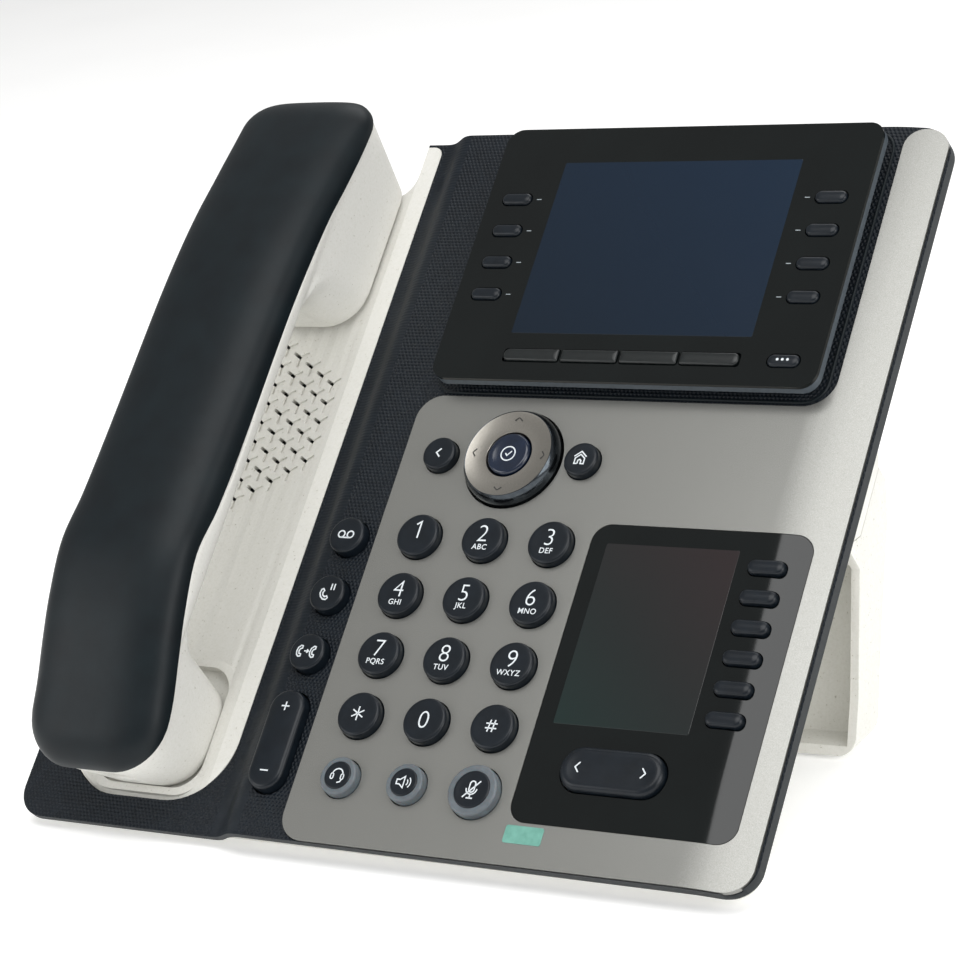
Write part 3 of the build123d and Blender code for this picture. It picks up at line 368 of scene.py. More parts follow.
# ---------------------------------------------------------------- mesh helpers
WELD = 1e-5
CAP_ANGLE, PRINT_ANGLE, ROUND_ANGLE = 50, 30, 60


def link_new(name, data):
    """A new object in the scene."""
    thing = bpy.data.objects.new(name, data)
    bpy.context.scene.collection.objects.link(thing)
    return thing


def add_object(name, mesh, body, materials, smooth):
    """Put a mesh made in face millimetres into the scene; edges sharper than smooth degrees stay crisp."""
    mesh.transform(FACE)
    mesh.update()
    piece = link_new(name, mesh)
    for material in materials:
        mesh.materials.append(MATERIALS[material])
    mesh.polygons.foreach_set("use_smooth", [True] * len(mesh.polygons))
    mesh.set_sharp_from_angle(angle=radians(smooth))
    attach(piece, body)
    return piece


def mesh_from(bm, name):
    """Finish a bmesh with outward normals."""
    bmesh.ops.remove_doubles(bm, verts=bm.verts, dist=WELD)
    bmesh.ops.recalc_face_normals(bm, faces=bm.faces)
    mesh = bpy.data.meshes.new(name)
    bm.to_mesh(mesh)
    bm.free()
    return mesh


def rings(bm, loops, close_first=True, close_last=True, material=0):
    """Skin a list of closed loops of the same length."""
    made = [[bm.verts.new(p) for p in loop] for loop in loops]
    faces = []
    for low, high in zip(made, made[1:]):
        count = len(low)
        for i in range(count):
            corner = (low[i], low[(i + 1) % count], high[(i + 1) % count], high[i])
            faces.append(bm.faces.new(corner))
    if close_first:
        faces.append(bm.faces.new(made[0][::-1]))
    if close_last:
        faces.append(bm.faces.new(made[-1]))
    for face in faces:
        face.material_index = material
    return made


def rounded(left, bottom, right_side, top, radius, steps=8, left_radius=None):
    """Points round a rectangle with rounded corners; the left ones can have their own radius."""
    points = []
    other = radius if left_radius is None else left_radius
    corners = (
        (right_side - radius, bottom + radius, radius, -90),
        (right_side - radius, top - radius, radius, 0),
        (left + other, top - other, other, 90),
        (left + other, bottom + other, other, 180),
    )
    for u, v, bend, start in corners:
        for i in range(steps + 1):
            turn = radians(start + 90 * i / steps)
            points.append((u + bend * cos(turn), v + bend * sin(turn)))
    return points


FULL_BEND = 0.999  # a full end's radius stays just under half the width, so no two points meet


def pill(centre, length, width, inset=0.0, upright=False, steps=14):
    """Points round a pill shape, shrunk by an inset."""
    half, radius = length / 2 - inset, width / 2 - inset
    u, v = centre
    if upright:
        return rounded(u - radius, v - half, u + radius, v + half, radius * FULL_BEND, steps)
    return rounded(u - half, v - radius, u + half, v + radius, radius * FULL_BEND, steps)


def disc(centre, radius, inset=0.0, steps=72):
    """Points round a circle, shrunk by an inset."""
    reach = radius - inset
    turns = [2 * pi * i / steps for i in range(steps)]
    return [(centre[0] + reach * cos(turn), centre[1] + reach * sin(turn)) for turn in turns]


def cushion_loops(outline, low, high, edge, crown=0.0, reach=3.0, steps=5, rise=4):
    """Loops of a cap: straight sides, a rounded edge, and a gently crowned or dished top."""
    loops = [[(u, v, low) for u, v in outline(0.0)]]
    for i in range(steps + 1):
        turn = pi / 2 * i / steps
        inset, w = edge * (1 - cos(turn)), high - edge + edge * sin(turn)
        loops.append([(u, v, w) for u, v in outline(inset)])
    for i in range(1, rise + 1):
        inset = edge + reach * i / rise
        w = high + crown * sin(pi / 2 * i / rise)
        loops.append([(u, v, w) for u, v in outline(inset)])
    return loops


def key_cap(body, outline, low, high, edge, crown, reach, material="key_navy"):
    """A key cap that stands for its CAD node."""
    name = f"{body}_cap"
    bm = bmesh.new()
    rings(bm, cushion_loops(outline, low, high, edge, crown, reach))
    piece = add_object(name, mesh_from(bm, name), body, [material], CAP_ANGLE)
    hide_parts(body)


# ---------------------------------------------------------------- printed glyphs
INK = 0.03
HALF_INK = 0.012
LETTER_SPACING = 1.08
TINY = 1e-6
MITRE_FLOOR, MITRE_LIMIT = 0.35, 2.0


def evaluated_mesh(holder):
    """The mesh that an object makes; the object itself goes."""
    bpy.context.view_layer.update()
    mesh = bpy.data.meshes.new_from_object(holder.evaluated_get(bpy.context.evaluated_depsgraph_get()))
    bpy.data.objects.remove(holder)
    return mesh


def text_mesh(text, centre, size, w, weight=0.0, spaced=False):
    """Vertices and faces of a line of flat text on the face; weight thickens the strokes."""
    curve = bpy.data.curves.new("glyph", "FONT")
    curve.body = text
    curve.size = size
    curve.align_x, curve.align_y = "CENTER", "CENTER"
    curve.extrude = HALF_INK
    curve.offset = weight
    curve.resolution_u = 6
    if spaced:
        curve.space_character = LETTER_SPACING
    mesh = evaluated_mesh(link_new("glyph", curve))
    corners = [v.co for v in mesh.vertices]
    middle = [(min(c[i] for c in corners) + max(c[i] for c in corners)) / 2 for i in range(2)]
    points = [(c.x - middle[0] + centre[0], c.y - middle[1] + centre[1], c.z + w) for c in corners]
    faces = [tuple(p.vertices) for p in mesh.polygons]
    bpy.data.meshes.remove(mesh)
    return points, faces


def stroke(points, width, w, closed=False):
    """Vertices and faces of a flat ribbon along a line of points."""
    verts, faces = [], []
    count = len(points)
    for i, point in enumerate(points):
        before = points[i - 1] if i > 0 or closed else point
        after = points[(i + 1) % count] if i < count - 1 or closed else point
        one = Vector((point[0] - before[0], point[1] - before[1]))
        two = Vector((after[0] - point[0], after[1] - point[1]))
        one = one.normalized() if one.length > TINY else two.normalized()
        two = two.normalized() if two.length > TINY else one
        along = (one + two).normalized() if (one + two).length > TINY else one
        stretch = min(1 / max(along.dot(one), MITRE_FLOOR), MITRE_LIMIT)
        side = Vector((-along.y, along.x)) * width / 2 * stretch
        for sign in (1, -1):
            for height in (w - HALF_INK, w + HALF_INK):
                verts.append((point[0] + sign * side.x, point[1] + sign * side.y, height))
    last = count if closed else count - 1
    for i in range(last):
        a, b = 4 * i, 4 * ((i + 1) % count)
        for p, q in ((1, 3), (3, 2), (2, 0), (0, 1)):
            faces.append((a + p, a + q, b + q, b + p))
    if not closed:
        end = 4 * (count - 1)
        faces += [(0, 2, 3, 1), (end, end + 1, end + 3, end + 2)]
    return verts, faces


def arc(centre, radius, start, end, steps=20):
    """Points along an arc, in degrees."""
    turns = [radians(start + (end - start) * i / steps) for i in range(steps + 1)]
    return [(centre[0] + radius * cos(turn), centre[1] + radius * sin(turn)) for turn in turns]


def print_piece(name, parts, body, material="print_white"):
    """Join printed shapes into one piece that rides on its body."""
    verts, faces = [], []
    for points, polygons in parts:
        base = len(verts)
        verts += points
        faces += [tuple(base + i for i in polygon) for polygon in polygons]
    mesh = bpy.data.meshes.new(name)
    mesh.from_pydata(verts, [], faces)
    add_object(name, mesh, body, [material], PRINT_ANGLE)


# ---------------------------------------------------------------- dial keys
PITCH_U, PITCH_V = 19.5, 16.9
KEY_LOW, KEY_TOP = -3.2, 2.4
DIAL_RADIUS, LEFT_RADIUS, HOME_RADIUS = 6.0, 5.15, 4.75
KEY_EDGE, KEY_DISH, KEY_REACH = 0.75, -0.05, 0.55
DIGIT, DIGIT_UP, DIGIT_WEIGHT = 6.8, 1.3, -0.1
LETTER, LETTER_DOWN, LETTER_WEIGHT = 2.15, 2.5, 0.02
LETTERS = {
    "2": "ABC", "3": "DEF", "4": "GHI", "5": "JKL", "6": "MNO", "7": "PQRS", "8": "TUV", "9": "WXYZ",
}
STAR_REACH, HASH_REACH, HASH_GAP, HASH_LEAN = 1.9, 1.6, 0.62, 0.2


def round_key(body, centre, radius, parts):
    """A round navy key with its print."""
    key_cap(body, lambda inset: disc(centre, radius, inset), KEY_LOW, KEY_TOP, KEY_EDGE, KEY_DISH,
            radius * KEY_REACH)
    print_piece(f"{body}_print", parts, body)


TOP_INK = KEY_TOP + 0.01
dial = (("1", "2", "3"), ("4", "5", "6"), ("7", "8", "9"), ("star", "0", "hash"))
for row, names in enumerate(dial):
    for column, name in enumerate(names):
        u, v = (column - 1) * PITCH_U, -row * PITCH_V
        if name == "star":
            arms = [(STAR_REACH * cos(radians(a)), STAR_REACH * sin(radians(a))) for a in (30, 90, 150)]
            parts = [stroke([(u - x, v - y), (u + x, v + y)], 0.36, TOP_INK) for x, y in arms]
        elif name == "hash":
            parts = [
                stroke([(u - HASH_REACH, v + d), (u + HASH_REACH, v + d)], 0.36, TOP_INK)
                for d in (-HASH_GAP, HASH_GAP)
            ]
            for d in (-HASH_GAP, HASH_GAP):
                ends = [(u + d - HASH_LEAN, v - HASH_REACH), (u + d + HASH_LEAN, v + HASH_REACH)]
                parts.append(stroke(ends, 0.36, TOP_INK))
        elif name in LETTERS:
            parts = [
                text_mesh(name, (u, v + DIGIT_UP), DIGIT, TOP_INK, DIGIT_WEIGHT),
                text_mesh(LETTERS[name], (u, v - LETTER_DOWN), LETTER, TOP_INK, LETTER_WEIGHT, spaced=True),
            ]
        elif name == "1":
            parts = [stroke([(u - 0.85, v + 2.75), (u + 0.35, v + 3.6), (u + 0.35, v - 1.1)], 0.46, TOP_INK)]
        else:
            parts = [text_mesh(name, (u, v), DIGIT, TOP_INK, DIGIT_WEIGHT)]
        round_key(f"key_{name}", (u, v), DIAL_RADIUS, parts)

# ---------------------------------------------------------------- left column and home keys
LEFT_U, LEFT_TOP_V = -40.9, -1.2
UPRIGHT = -38


def receiver(u, v, size, turn=0.0):
    """Outline of a small telephone receiver."""
    shape = (
        (-1.0, 1.0), (-0.55, 1.25), (-0.15, 0.75), (-0.45, 0.3), (-0.3, -0.3), (0.3, -0.75),
        (0.8, -0.5), (1.15, -0.95), (0.75, -1.4), (0.0, -1.35), (-0.75, -0.75), (-1.15, 0.1),
    )
    c, s = cos(radians(turn)), sin(radians(turn))
    return [(u + size * (x * c - y * s), v + size * (x * s + y * c)) for x, y in shape]


v = LEFT_TOP_V
round_key("message_key", (LEFT_U, v), LEFT_RADIUS, [
    stroke(arc((LEFT_U - 1.35, v), 0.95, 0, 354), 0.42, TOP_INK, True),
    stroke(arc((LEFT_U + 1.35, v), 0.95, 0, 354), 0.42, TOP_INK, True),
    stroke([(LEFT_U - 1.35, v - 0.95), (LEFT_U + 1.35, v - 0.95)], 0.42, TOP_INK),
])
v -= PITCH_V
round_key("hold_key", (LEFT_U, v), LEFT_RADIUS, [
    stroke(receiver(LEFT_U - 0.5, v - 0.5, 1.15), 0.38, TOP_INK, True),
    stroke([(LEFT_U + 1.1, v + 0.7), (LEFT_U + 1.1, v + 2.5)], 0.38, TOP_INK),
    stroke([(LEFT_U + 2.0, v + 0.7), (LEFT_U + 2.0, v + 2.5)], 0.38, TOP_INK),
])
v -= PITCH_V
round_key("transfer_key", (LEFT_U, v), LEFT_RADIUS, [
    stroke(receiver(LEFT_U - 1.8, v, 1.05, UPRIGHT), 0.36, TOP_INK, True),
    stroke(receiver(LEFT_U + 2.2, v, 1.05, UPRIGHT), 0.36, TOP_INK, True),
    stroke([(LEFT_U - 0.7, v), (LEFT_U + 0.6, v)], 0.32, TOP_INK),
    stroke([(LEFT_U + 0.1, v + 0.5), (LEFT_U + 0.65, v), (LEFT_U + 0.1, v - 0.5)], 0.32, TOP_INK),
])
HOME_U, HOME_V = 21.1, 23.9
u, v = -HOME_U, HOME_V
round_key("back_key", (u, v), HOME_RADIUS, [
    stroke([(u + 0.6, v + 1.2), (u - 0.6, v), (u + 0.6, v - 1.2)], 0.4, TOP_INK),
])
u = HOME_U
round_key("home_key", (u, v), HOME_RADIUS, [
    stroke([(u - 1.75, v + 0.55), (u, v + 2.0), (u + 1.75, v + 0.55)], 0.36, TOP_INK),
    stroke([
        (u - 0.45, v - 1.5), (u - 1.35, v - 1.5), (u - 1.35, v + 0.05), (u, v + 1.15),
        (u + 1.35, v + 0.05), (u + 1.35, v - 1.5), (u + 0.45, v - 1.5), (u + 0.45, v - 0.6),
        (u, v - 0.3), (u - 0.45, v - 0.6), (u - 0.45, v - 1.5),
    ], 0.34, TOP_INK),
])

# ---------------------------------------------------------------- ringed keys
RING_ROW = -4 * PITCH_V
RING_RADIUS, RING_CAP = 5.15, 3.8
MUTE_RADIUS, MUTE_CAP = 6.75, 5.0
RING_TOP, RING_EDGE = KEY_TOP - 0.1, 0.6
INNER_LOW, INNER_RISE, INNER_EDGE, INNER_DISH = 0.8, 0.15, 0.45, 0.1


def ringed_key(body, centre, ring_radius, cap_radius, parts):
    """A translucent ring round a navy cap."""
    bm = bmesh.new()
    rings(bm, cushion_loops(
        lambda inset: disc(centre, ring_radius, inset), KEY_LOW, RING_TOP, RING_EDGE, 0, 0.05, 5, 1
    ))
    ring = add_object(f"{body}_ring", mesh_from(bm, body), body, ["key_ring"], CAP_ANGLE)
    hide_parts(body)
    bm = bmesh.new()
    rings(bm, cushion_loops(
        lambda inset: disc(centre, cap_radius, inset), INNER_LOW, KEY_TOP + INNER_RISE, INNER_EDGE,
        -INNER_DISH, 2.0,
    ))
    add_object(f"{body}_cap", mesh_from(bm, body), body, ["key_navy"], CAP_ANGLE)
    print_piece(f"{body}_print", parts, body)


INK_RING = KEY_TOP + INNER_RISE - INNER_DISH + INK
u, v = -PITCH_U, RING_ROW
ringed_key("headset_key", (u, v), RING_RADIUS, RING_CAP, [
    stroke(arc((u, v + 0.2), 1.5, 0, 180), 0.34, INK_RING),
    stroke(pill((u - 1.5, v - 0.35), 1.5, 0.8, 0, True, 5), 0.3, INK_RING, True),
    stroke(pill((u + 1.5, v - 0.35), 1.5, 0.8, 0, True, 5), 0.3, INK_RING, True),
    stroke([(u + 1.5, v - 1.1), (u + 1.3, v - 1.7), (u + 0.4, v - 2.0)], 0.34, INK_RING),
])
u = 0.0
ringed_key("speaker_key", (u, v), RING_RADIUS, RING_CAP, [
    stroke([
        (u - 2.0, v + 0.6), (u - 1.1, v + 0.6), (u + 0.1, v + 1.5), (u + 0.1, v - 1.5),
        (u - 1.1, v - 0.6), (u - 2.0, v - 0.6),
    ], 0.34, INK_RING, True),
    stroke(arc((u + 0.2, v), 1.0, -45, 45), 0.3, INK_RING),
    stroke(arc((u + 0.2, v), 1.8, -45, 45), 0.3, INK_RING),
])
u = PITCH_U
ringed_key("mute_key", (u, v), MUTE_RADIUS, MUTE_CAP, [
    stroke(pill((u, v + 0.7), 2.9, 1.5, 0, True, 6), 0.34, INK_RING, True),
    stroke(arc((u, v + 0.2), 1.5, 180, 360), 0.34, INK_RING),
    stroke([(u, v - 1.3), (u, v - 2.3)], 0.34, INK_RING),
    stroke([(u - 0.9, v - 2.3), (u + 0.9, v - 2.3)], 0.34, INK_RING),
    stroke([(u - 2.0, v - 2.2), (u + 2.0, v + 2.3)], 0.38, INK_RING),
])

# ---------------------------------------------------------------- rockers and pill keys
VOLUME_SIZE, VOLUME_CROWN, VOLUME_MARK = (27.6, 10.3), 0.15, 8.9
u, v = VOLUME_AT[0], VOLUME_AT[1]
key_cap("volume_rocker", lambda inset: pill((u, v), *VOLUME_SIZE, inset, True), KEY_LOW, KEY_TOP, 1.1,
        VOLUME_CROWN, 3.4)
volume_ink = KEY_TOP + VOLUME_CROWN + INK
print_piece("volume_rocker_print", [
    stroke([(u - 1.2, v + VOLUME_MARK), (u + 1.2, v + VOLUME_MARK)], 0.38, volume_ink),
    stroke([(u, v + 7.7), (u, v + 10.1)], 0.38, volume_ink),
    stroke([(u - 1.2, v - VOLUME_MARK), (u + 1.2, v - VOLUME_MARK)], 0.38, volume_ink),
], "volume_rocker")

SIDE_LOW, SIDE_TOP = -4.4, 1.5
PAGE, PAGE_SIZE, PAGE_TOP = (54.8, -58.9), (28.0, 11.5), SIDE_TOP + 0.5
key_cap("page_rocker", lambda inset: pill(PAGE, *PAGE_SIZE, inset), SIDE_LOW, PAGE_TOP, 1.6, -0.25, 3.6)
page_ink = PAGE_TOP - 0.05 + INK
print_piece("page_rocker_print", [
    stroke([
        (PAGE[0] + side * 8.4, PAGE[1] + 1.3), (PAGE[0] + side * 9.5, PAGE[1]),
        (PAGE[0] + side * 8.4, PAGE[1] - 1.3),
    ], 0.36, page_ink)
    for side in (-1, 1)
], "page_rocker")

SIDE_KEY, SIDE_STEP, SIDE_SIZE = (79.9, -2.7), 8.05, (10.0, 3.9)
for i in range(6):
    centre = (SIDE_KEY[0], SIDE_KEY[1] - i * SIDE_STEP)
    key_cap(f"side_key_{i + 1}", lambda inset, c=centre: pill(c, *SIDE_SIZE, inset), SIDE_LOW, SIDE_TOP, 1.0,
            0.12, 0.8)

LENS_TOP, MODULE_LOW, MODULE_TOP = 6.8, 3.9, 7.5
LINE_U, LINE_V, LINE_STEP = (-19.3, 72.8), 99.0, 9.87
LINE_SIZE = (8.8, 3.5)
for side in range(2):
    for i in range(4):
        centre = (LINE_U[side], LINE_V - i * LINE_STEP)
        key_cap(f"line_key_{4 * side + i + 1}", lambda inset, c=centre: pill(c, *LINE_SIZE, inset),
                MODULE_LOW, MODULE_TOP + 0.2, 0.9, 0.1, 0.7)
SOFT_U, SOFT_V, SOFT_STEP = 0.4, 51.0, 17.2
SOFT_HALF, SOFT_HEIGHT = 8.2, 1.75
OUTER_BEND, INNER_BEND = 1.6, 0.5
for i in range(4):
    left = SOFT_U + i * SOFT_STEP - SOFT_HALF
    ends = (OUTER_BEND if i == 3 else INNER_BEND, OUTER_BEND if i == 0 else INNER_BEND)

    def soft_outline(inset, left=left, ends=ends):
        """A soft key's outline, rounder at the outer ends of the row."""
        return rounded(
            left + inset, SOFT_V - SOFT_HEIGHT + inset, left + 2 * SOFT_HALF - inset,
            SOFT_V + SOFT_HEIGHT - inset, max(ends[0] - inset, 0.05), 5, max(ends[1] - inset, 0.05),
        )

    key_cap(f"soft_key_{i + 1}", soft_outline, MODULE_LOW, MODULE_TOP, 0.55, 0.08, 0.9, "soft_black")
MORE_U, MORE_CROWN = 72.4, 0.08
key_cap("more_key", lambda inset: pill((MORE_U, SOFT_V), *LINE_SIZE, inset), MODULE_LOW, MODULE_TOP, 0.9,
        MORE_CROWN, 0.7)
more_ink = MODULE_TOP + MORE_CROWN + INK
print_piece("more_key_print", [
    stroke(arc((MORE_U + d, SOFT_V), 0.2, 0, 350, 10), 0.36, more_ink, True) for d in (-1.4, 0, 1.4)
], "more_key")

# ---------------------------------------------------------------- navigation ring
NAV = (0.6, 23.8)
NAV_LOW, NAV_TOP = -4.4, 3.9
NAV_INNER, NAV_OUTER = 6.5, 13.5
DISH_START, DISH_WIDTH, DISH_LOW, DISH_RISE, DISH_STEPS = 6.6, 5.6, 3.2, 0.62, 10


def lathe(bm, centre, profile, steps=96, material=0):
    """Turn an open profile of (radius, w) about the key's own axis."""
    turns = [2 * pi * i / steps for i in range(steps)]
    loops = []
    for r, w in profile:
        loops.append([(centre[0] + r * cos(turn), centre[1] + r * sin(turn), w) for turn in turns])
    rings(bm, loops, False, False, material)


bm = bmesh.new()
dish = [
    (DISH_START + DISH_WIDTH * i / DISH_STEPS, DISH_LOW + DISH_RISE * (i / DISH_STEPS) ** 2)
    for i in range(DISH_STEPS + 1)
]
lathe(bm, NAV, [(NAV_INNER, NAV_LOW), (NAV_INNER, DISH_LOW - 0.1)] + dish)
lathe(bm, NAV, [
    (dish[-1][0], dish[-1][1]), (12.35, NAV_TOP - 0.03), (12.5, NAV_TOP - 0.15), (13.3, NAV_TOP - 1.6),
    (NAV_OUTER, NAV_TOP - 2.4), (NAV_OUTER, NAV_LOW),
], material=1)
lathe(bm, NAV, [(NAV_OUTER, NAV_LOW), (NAV_INNER, NAV_LOW)])
nav = add_object(
    "nav_ring_body", mesh_from(bm, "nav"), "nav_ring", ["nav_metal", "nav_rim"], 28
)
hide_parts("nav_ring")

MARK_IN, MARK_OUT, MARK_HALF, MARK_MIDDLE = 9.7, 10.6, 1.1, 10.2
MARK_W = DISH_LOW + DISH_RISE * ((MARK_MIDDLE - DISH_START) / DISH_WIDTH) ** 2 + 0.06


def nav_mark(turn):
    """A small engraved arrow on the dish, pointing outwards."""
    c, s = cos(radians(turn)), sin(radians(turn))
    shape = ((-MARK_HALF, MARK_IN), (0.0, MARK_OUT), (MARK_HALF, MARK_IN))
    return stroke([(NAV[0] + x * c - y * s, NAV[1] + x * s + y * c) for x, y in shape], 0.34, MARK_W)


marks = [nav_mark(turn) for turn in (0, 90, 180, 270)]
print_piece("nav_ring_marks", marks, "nav_ring", "engraving")
key_cap("select_key", lambda inset: disc(NAV, 6.0, inset), -4.0, NAV_TOP, 0.9, -0.35, 3.6, "select_blue")
select_ink = NAV_TOP - 0.3 + INK
print_piece("select_key_print", [
    stroke(arc(NAV, 2.0, 0, 355, 36), 0.34, select_ink, True),
    stroke([
        (NAV[0] - 0.8, NAV[1] + 0.1), (NAV[0] - 0.2, NAV[1] - 0.6), (NAV[0] + 0.95, NAV[1] + 0.7),
    ], 0.34, select_ink),
], "select_key")

# ---------------------------------------------------------------- housings and other CAD shapes
NODE_WELD, FLAT_ANGLE, CRISP_ANGLE = 2e-6, 1.0, 40


def softened(node, body, materials, width, angle=38, pick=None):
    """A copy of a CAD node with its sharp edges rounded off; the copy stands for the node."""
    mesh = frame["nodes"][node].data.copy()
    mesh.materials.clear()
    for material in materials:
        mesh.materials.append(MATERIALS[material])
    bm = bmesh.new()
    bm.from_mesh(mesh)
    bmesh.ops.remove_doubles(bm, verts=bm.verts, dist=NODE_WELD)
    bmesh.ops.dissolve_limit(bm, angle_limit=radians(FLAT_ANGLE), verts=bm.verts, edges=bm.edges)
    for face in bm.faces:
        face.smooth = True
        face.material_index = pick(TO_FACE @ face.calc_center_median(), face.normal) if pick else 0
    bm.to_mesh(mesh)
    bm.free()
    piece = link_new(f"{node}_shell", mesh)
    bevel = piece.modifiers.new("edges", "BEVEL")
    bevel.width = width * MM
    bevel.segments = 3
    bevel.limit_method = "ANGLE"
    bevel.angle_limit = radians(angle)
    bevel.harden_normals = False
    bevel.use_clamp_overlap = True
    mesh.set_sharp_from_angle(angle=radians(CRISP_ANGLE))
    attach(piece, body)
    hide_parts(node)


CASE_MATERIALS = ["navy_textured", "navy_ribbed", "navy_smooth"]
CURVE_LEFT, CURVE_RIGHT, CURVE_LOW = -56.6, -45.9, -6
TOP_COSINE = 0.8


def case_material(place, normal):
    """Ribs on the S-curve beside the cradle, scales on the rest of the top, and smooth sides."""
    if normal.dot(out) < TOP_COSINE:
        return CASE_MATERIALS.index("navy_smooth")
    on_curve = CURVE_LEFT < place.x < CURVE_RIGHT and place.z > CURVE_LOW
    return CASE_MATERIALS.index("navy_ribbed" if on_curve else "navy_textured")


softened("top_case", "base", CASE_MATERIALS, 0.45, pick=case_material)
softened("faceplate", "base", ["silver"], 0.25)
softened("display_bezel", "base", ["grey_satin"], 0.35)
softened("rear_housing", "base", ["cream"], 0.7)
softened("stand", "stand", ["cream"], 1.4, 30)
softened("cradle", "base", ["cream"], 0.25, 50)


def finish_node(node, material):
    """A CAD node that keeps its own mesh takes a procedural material."""
    data = frame["nodes"][node].data
    data.materials.clear()
    data.materials.append(MATERIALS[material])


for node, material in (
    ("display_lenses", "lens_black"), ("lcd_panels", "socket_black"), ("circuit_boards", "board_green"),
    ("key_membrane", "silicone"), ("loudspeaker", "socket_black"), ("screws", "steel"),
    ("stand_feet", "rubber"), ("hook_switch", "key_navy"), ("handset_capsules", "steel"),
):
    finish_node(node, material)


# ---------------------------------------------------------------- screens and lens trim
SLAB_EDGE, SLAB_ANGLE = 0.05, 25


def slab(name, box, bend, low, high, material):
    """A thin flat rectangle on the face (left, bottom, right, top) with slightly softened edges."""
    def outline(inset):
        """The rectangle shrunk by an inset."""
        return rounded(box[0] + inset, box[1] + inset, box[2] - inset, box[3] - inset, bend)

    bm = bmesh.new()
    rings(bm, [
        [(u, v, low) for u, v in outline(0.0)],
        [(u, v, high - SLAB_EDGE) for u, v in outline(0.0)],
        [(u, v, high) for u, v in outline(SLAB_EDGE)],
    ])
    add_object(name, mesh_from(bm, name), "base", [material], SLAB_ANGLE)


slab("main_screen_glass", MAIN_SCREEN, 0.4, LENS_TOP - 0.3, LENS_TOP + 0.03, "main_screen")
slab("side_screen_glass", SIDE_SCREEN, 0.4, -0.4, 0.0, "side_screen")
TICK_U, TICK_HALF, TICK_W = (-12.6, 66.1), 0.7, LENS_TOP + INK
for side, u in enumerate(TICK_U):
    rows = [LINE_V - i * LINE_STEP for i in range(4)]
    ticks = [stroke([(u - TICK_HALF, v), (u + TICK_HALF, v)], 0.22, TICK_W) for v in rows]
    print_piece(f"line_ticks_{side + 1}", ticks, "base", "print_grey")
slab("film_tab", (30.5, -79.2, 41.0, -74.6), 0.6, 0.02, 0.16, "tab_green")

MODULE_BOX = (-30.6, 41.9 + 1.6, 82.3, 123.4)
BEAD_HALF, BEAD_HEIGHT, BEAD_W = 0.45, 0.4, -0.62
BEAD_TURNS = (0, pi / 4, pi / 2, 3 * pi / 4, pi, 3 * pi / 2)


def bead_loops():
    """Thin raised bead on the dark case round the display module."""
    path = rounded(*MODULE_BOX, 6.0, 10)
    loops = []
    for i, (u, v) in enumerate(path):
        before, after = path[i - 1], path[(i + 1) % len(path)]
        along = Vector((after[0] - before[0], after[1] - before[1])).normalized()
        side = Vector((along.y, -along.x))
        loops.append([
            (u + side.x * BEAD_HALF * cos(t), v + side.y * BEAD_HALF * cos(t), BEAD_W + BEAD_HEIGHT * sin(t))
            for t in BEAD_TURNS
        ])
    return loops


bm = bmesh.new()
made = rings(bm, bead_loops(), False, False)
sides = len(BEAD_TURNS)
for i in range(sides):
    bm.faces.new((made[-1][i], made[-1][(i + 1) % sides], made[0][(i + 1) % sides], made[0][i]))
add_object("module_bead", mesh_from(bm, "bead"), "base", ["navy_smooth"], ROUND_ANGLE)

# ---------------------------------------------------------------- handset
HANDSET_U = -84.0
HALF = 21.0
# heights (v, w) of the seam between the halves, and of the middle of the dark back
SEAM = [
    (-88.0, 14.9), (-70.0, 16.9), (-60.0, 18.7), (-49.0, 22.6), (-38.0, 26.5), (-23.0, 30.0), (-9.0, 28.2),
    (10.0, 27.5), (40.0, 27.5), (53.0, 27.3), (67.0, 26.5), (81.0, 25.2), (94.0, 22.9), (108.0, 21.0),
    (126.0, 20.1),
]
BACK = [
    (-88.0, 18.6), (-60.0, 27.8), (-49.0, 32.0), (-38.0, 35.4), (-24.0, 38.0), (-9.0, 37.4), (25.0, 36.6),
    (67.0, 35.4), (94.0, 31.8), (108.0, 29.0), (126.0, 24.2),
]


def smooth_height(points, v):
    """Height at v of a soft curve through the points."""
    if v <= points[0][0]:
        return points[0][1]
    for i in range(len(points) - 1):
        (v0, w0), (v1, w1) = points[i], points[i + 1]
        if v <= v1:
            before = points[i - 1] if i else (v0, w0)
            after = points[i + 2] if i + 2 < len(points) else (v1, w1)
            m0 = (w1 - before[1]) / (v1 - before[0])
            m1 = (after[1] - w0) / (after[0] - v0)
            t = (v - v0) / (v1 - v0)
            d = v1 - v0
            return ((2 * t**3 - 3 * t**2 + 1) * w0 + (t**3 - 2 * t**2 + t) * d * m0
                    + (3 * t**2 - 2 * t**3) * w1 + (t**3 - t**2) * d * m1)
    return points[-1][1]


END_LOW, END_HIGH = -78.5, 121.8
CORNER_LOW, CORNER_HIGH = 14.0, 10.0


def plan_half(v):
    """Half width of the cover's rounded outline at v."""
    depth, corner = (v - END_LOW, CORNER_LOW) if v < 0 else (END_HIGH - v, CORNER_HIGH)
    if depth >= corner:
        return HALF
    return HALF - corner + sqrt(corner**2 - (corner - depth) ** 2)


STATION_STEP, STATION_END, END_STATIONS = 2.4, 10, 10


def stations(low, high):
    """Places along v, close together at both ends."""
    middle = high - low - 2 * STATION_END
    eased = [STATION_END * (1 - cos(pi / 2 * i / END_STATIONS)) for i in range(END_STATIONS)]
    count = int(middle / STATION_STEP)
    places = [low + ease for ease in eased]
    places += [low + STATION_END + middle * i / count for i in range(count + 1)]
    places += [high - ease for ease in eased[::-1]]
    return places


END_REACH, END_POWER, LEAST_SWELL = 9.0, 2.4, 0.02
SIDE_POWER, TOP_POWER = 2 / 3.0, 2 / 2.6
SEAM_GAP, COVER_LIP, UNDER_STEPS = 0.15, 0.25, 6


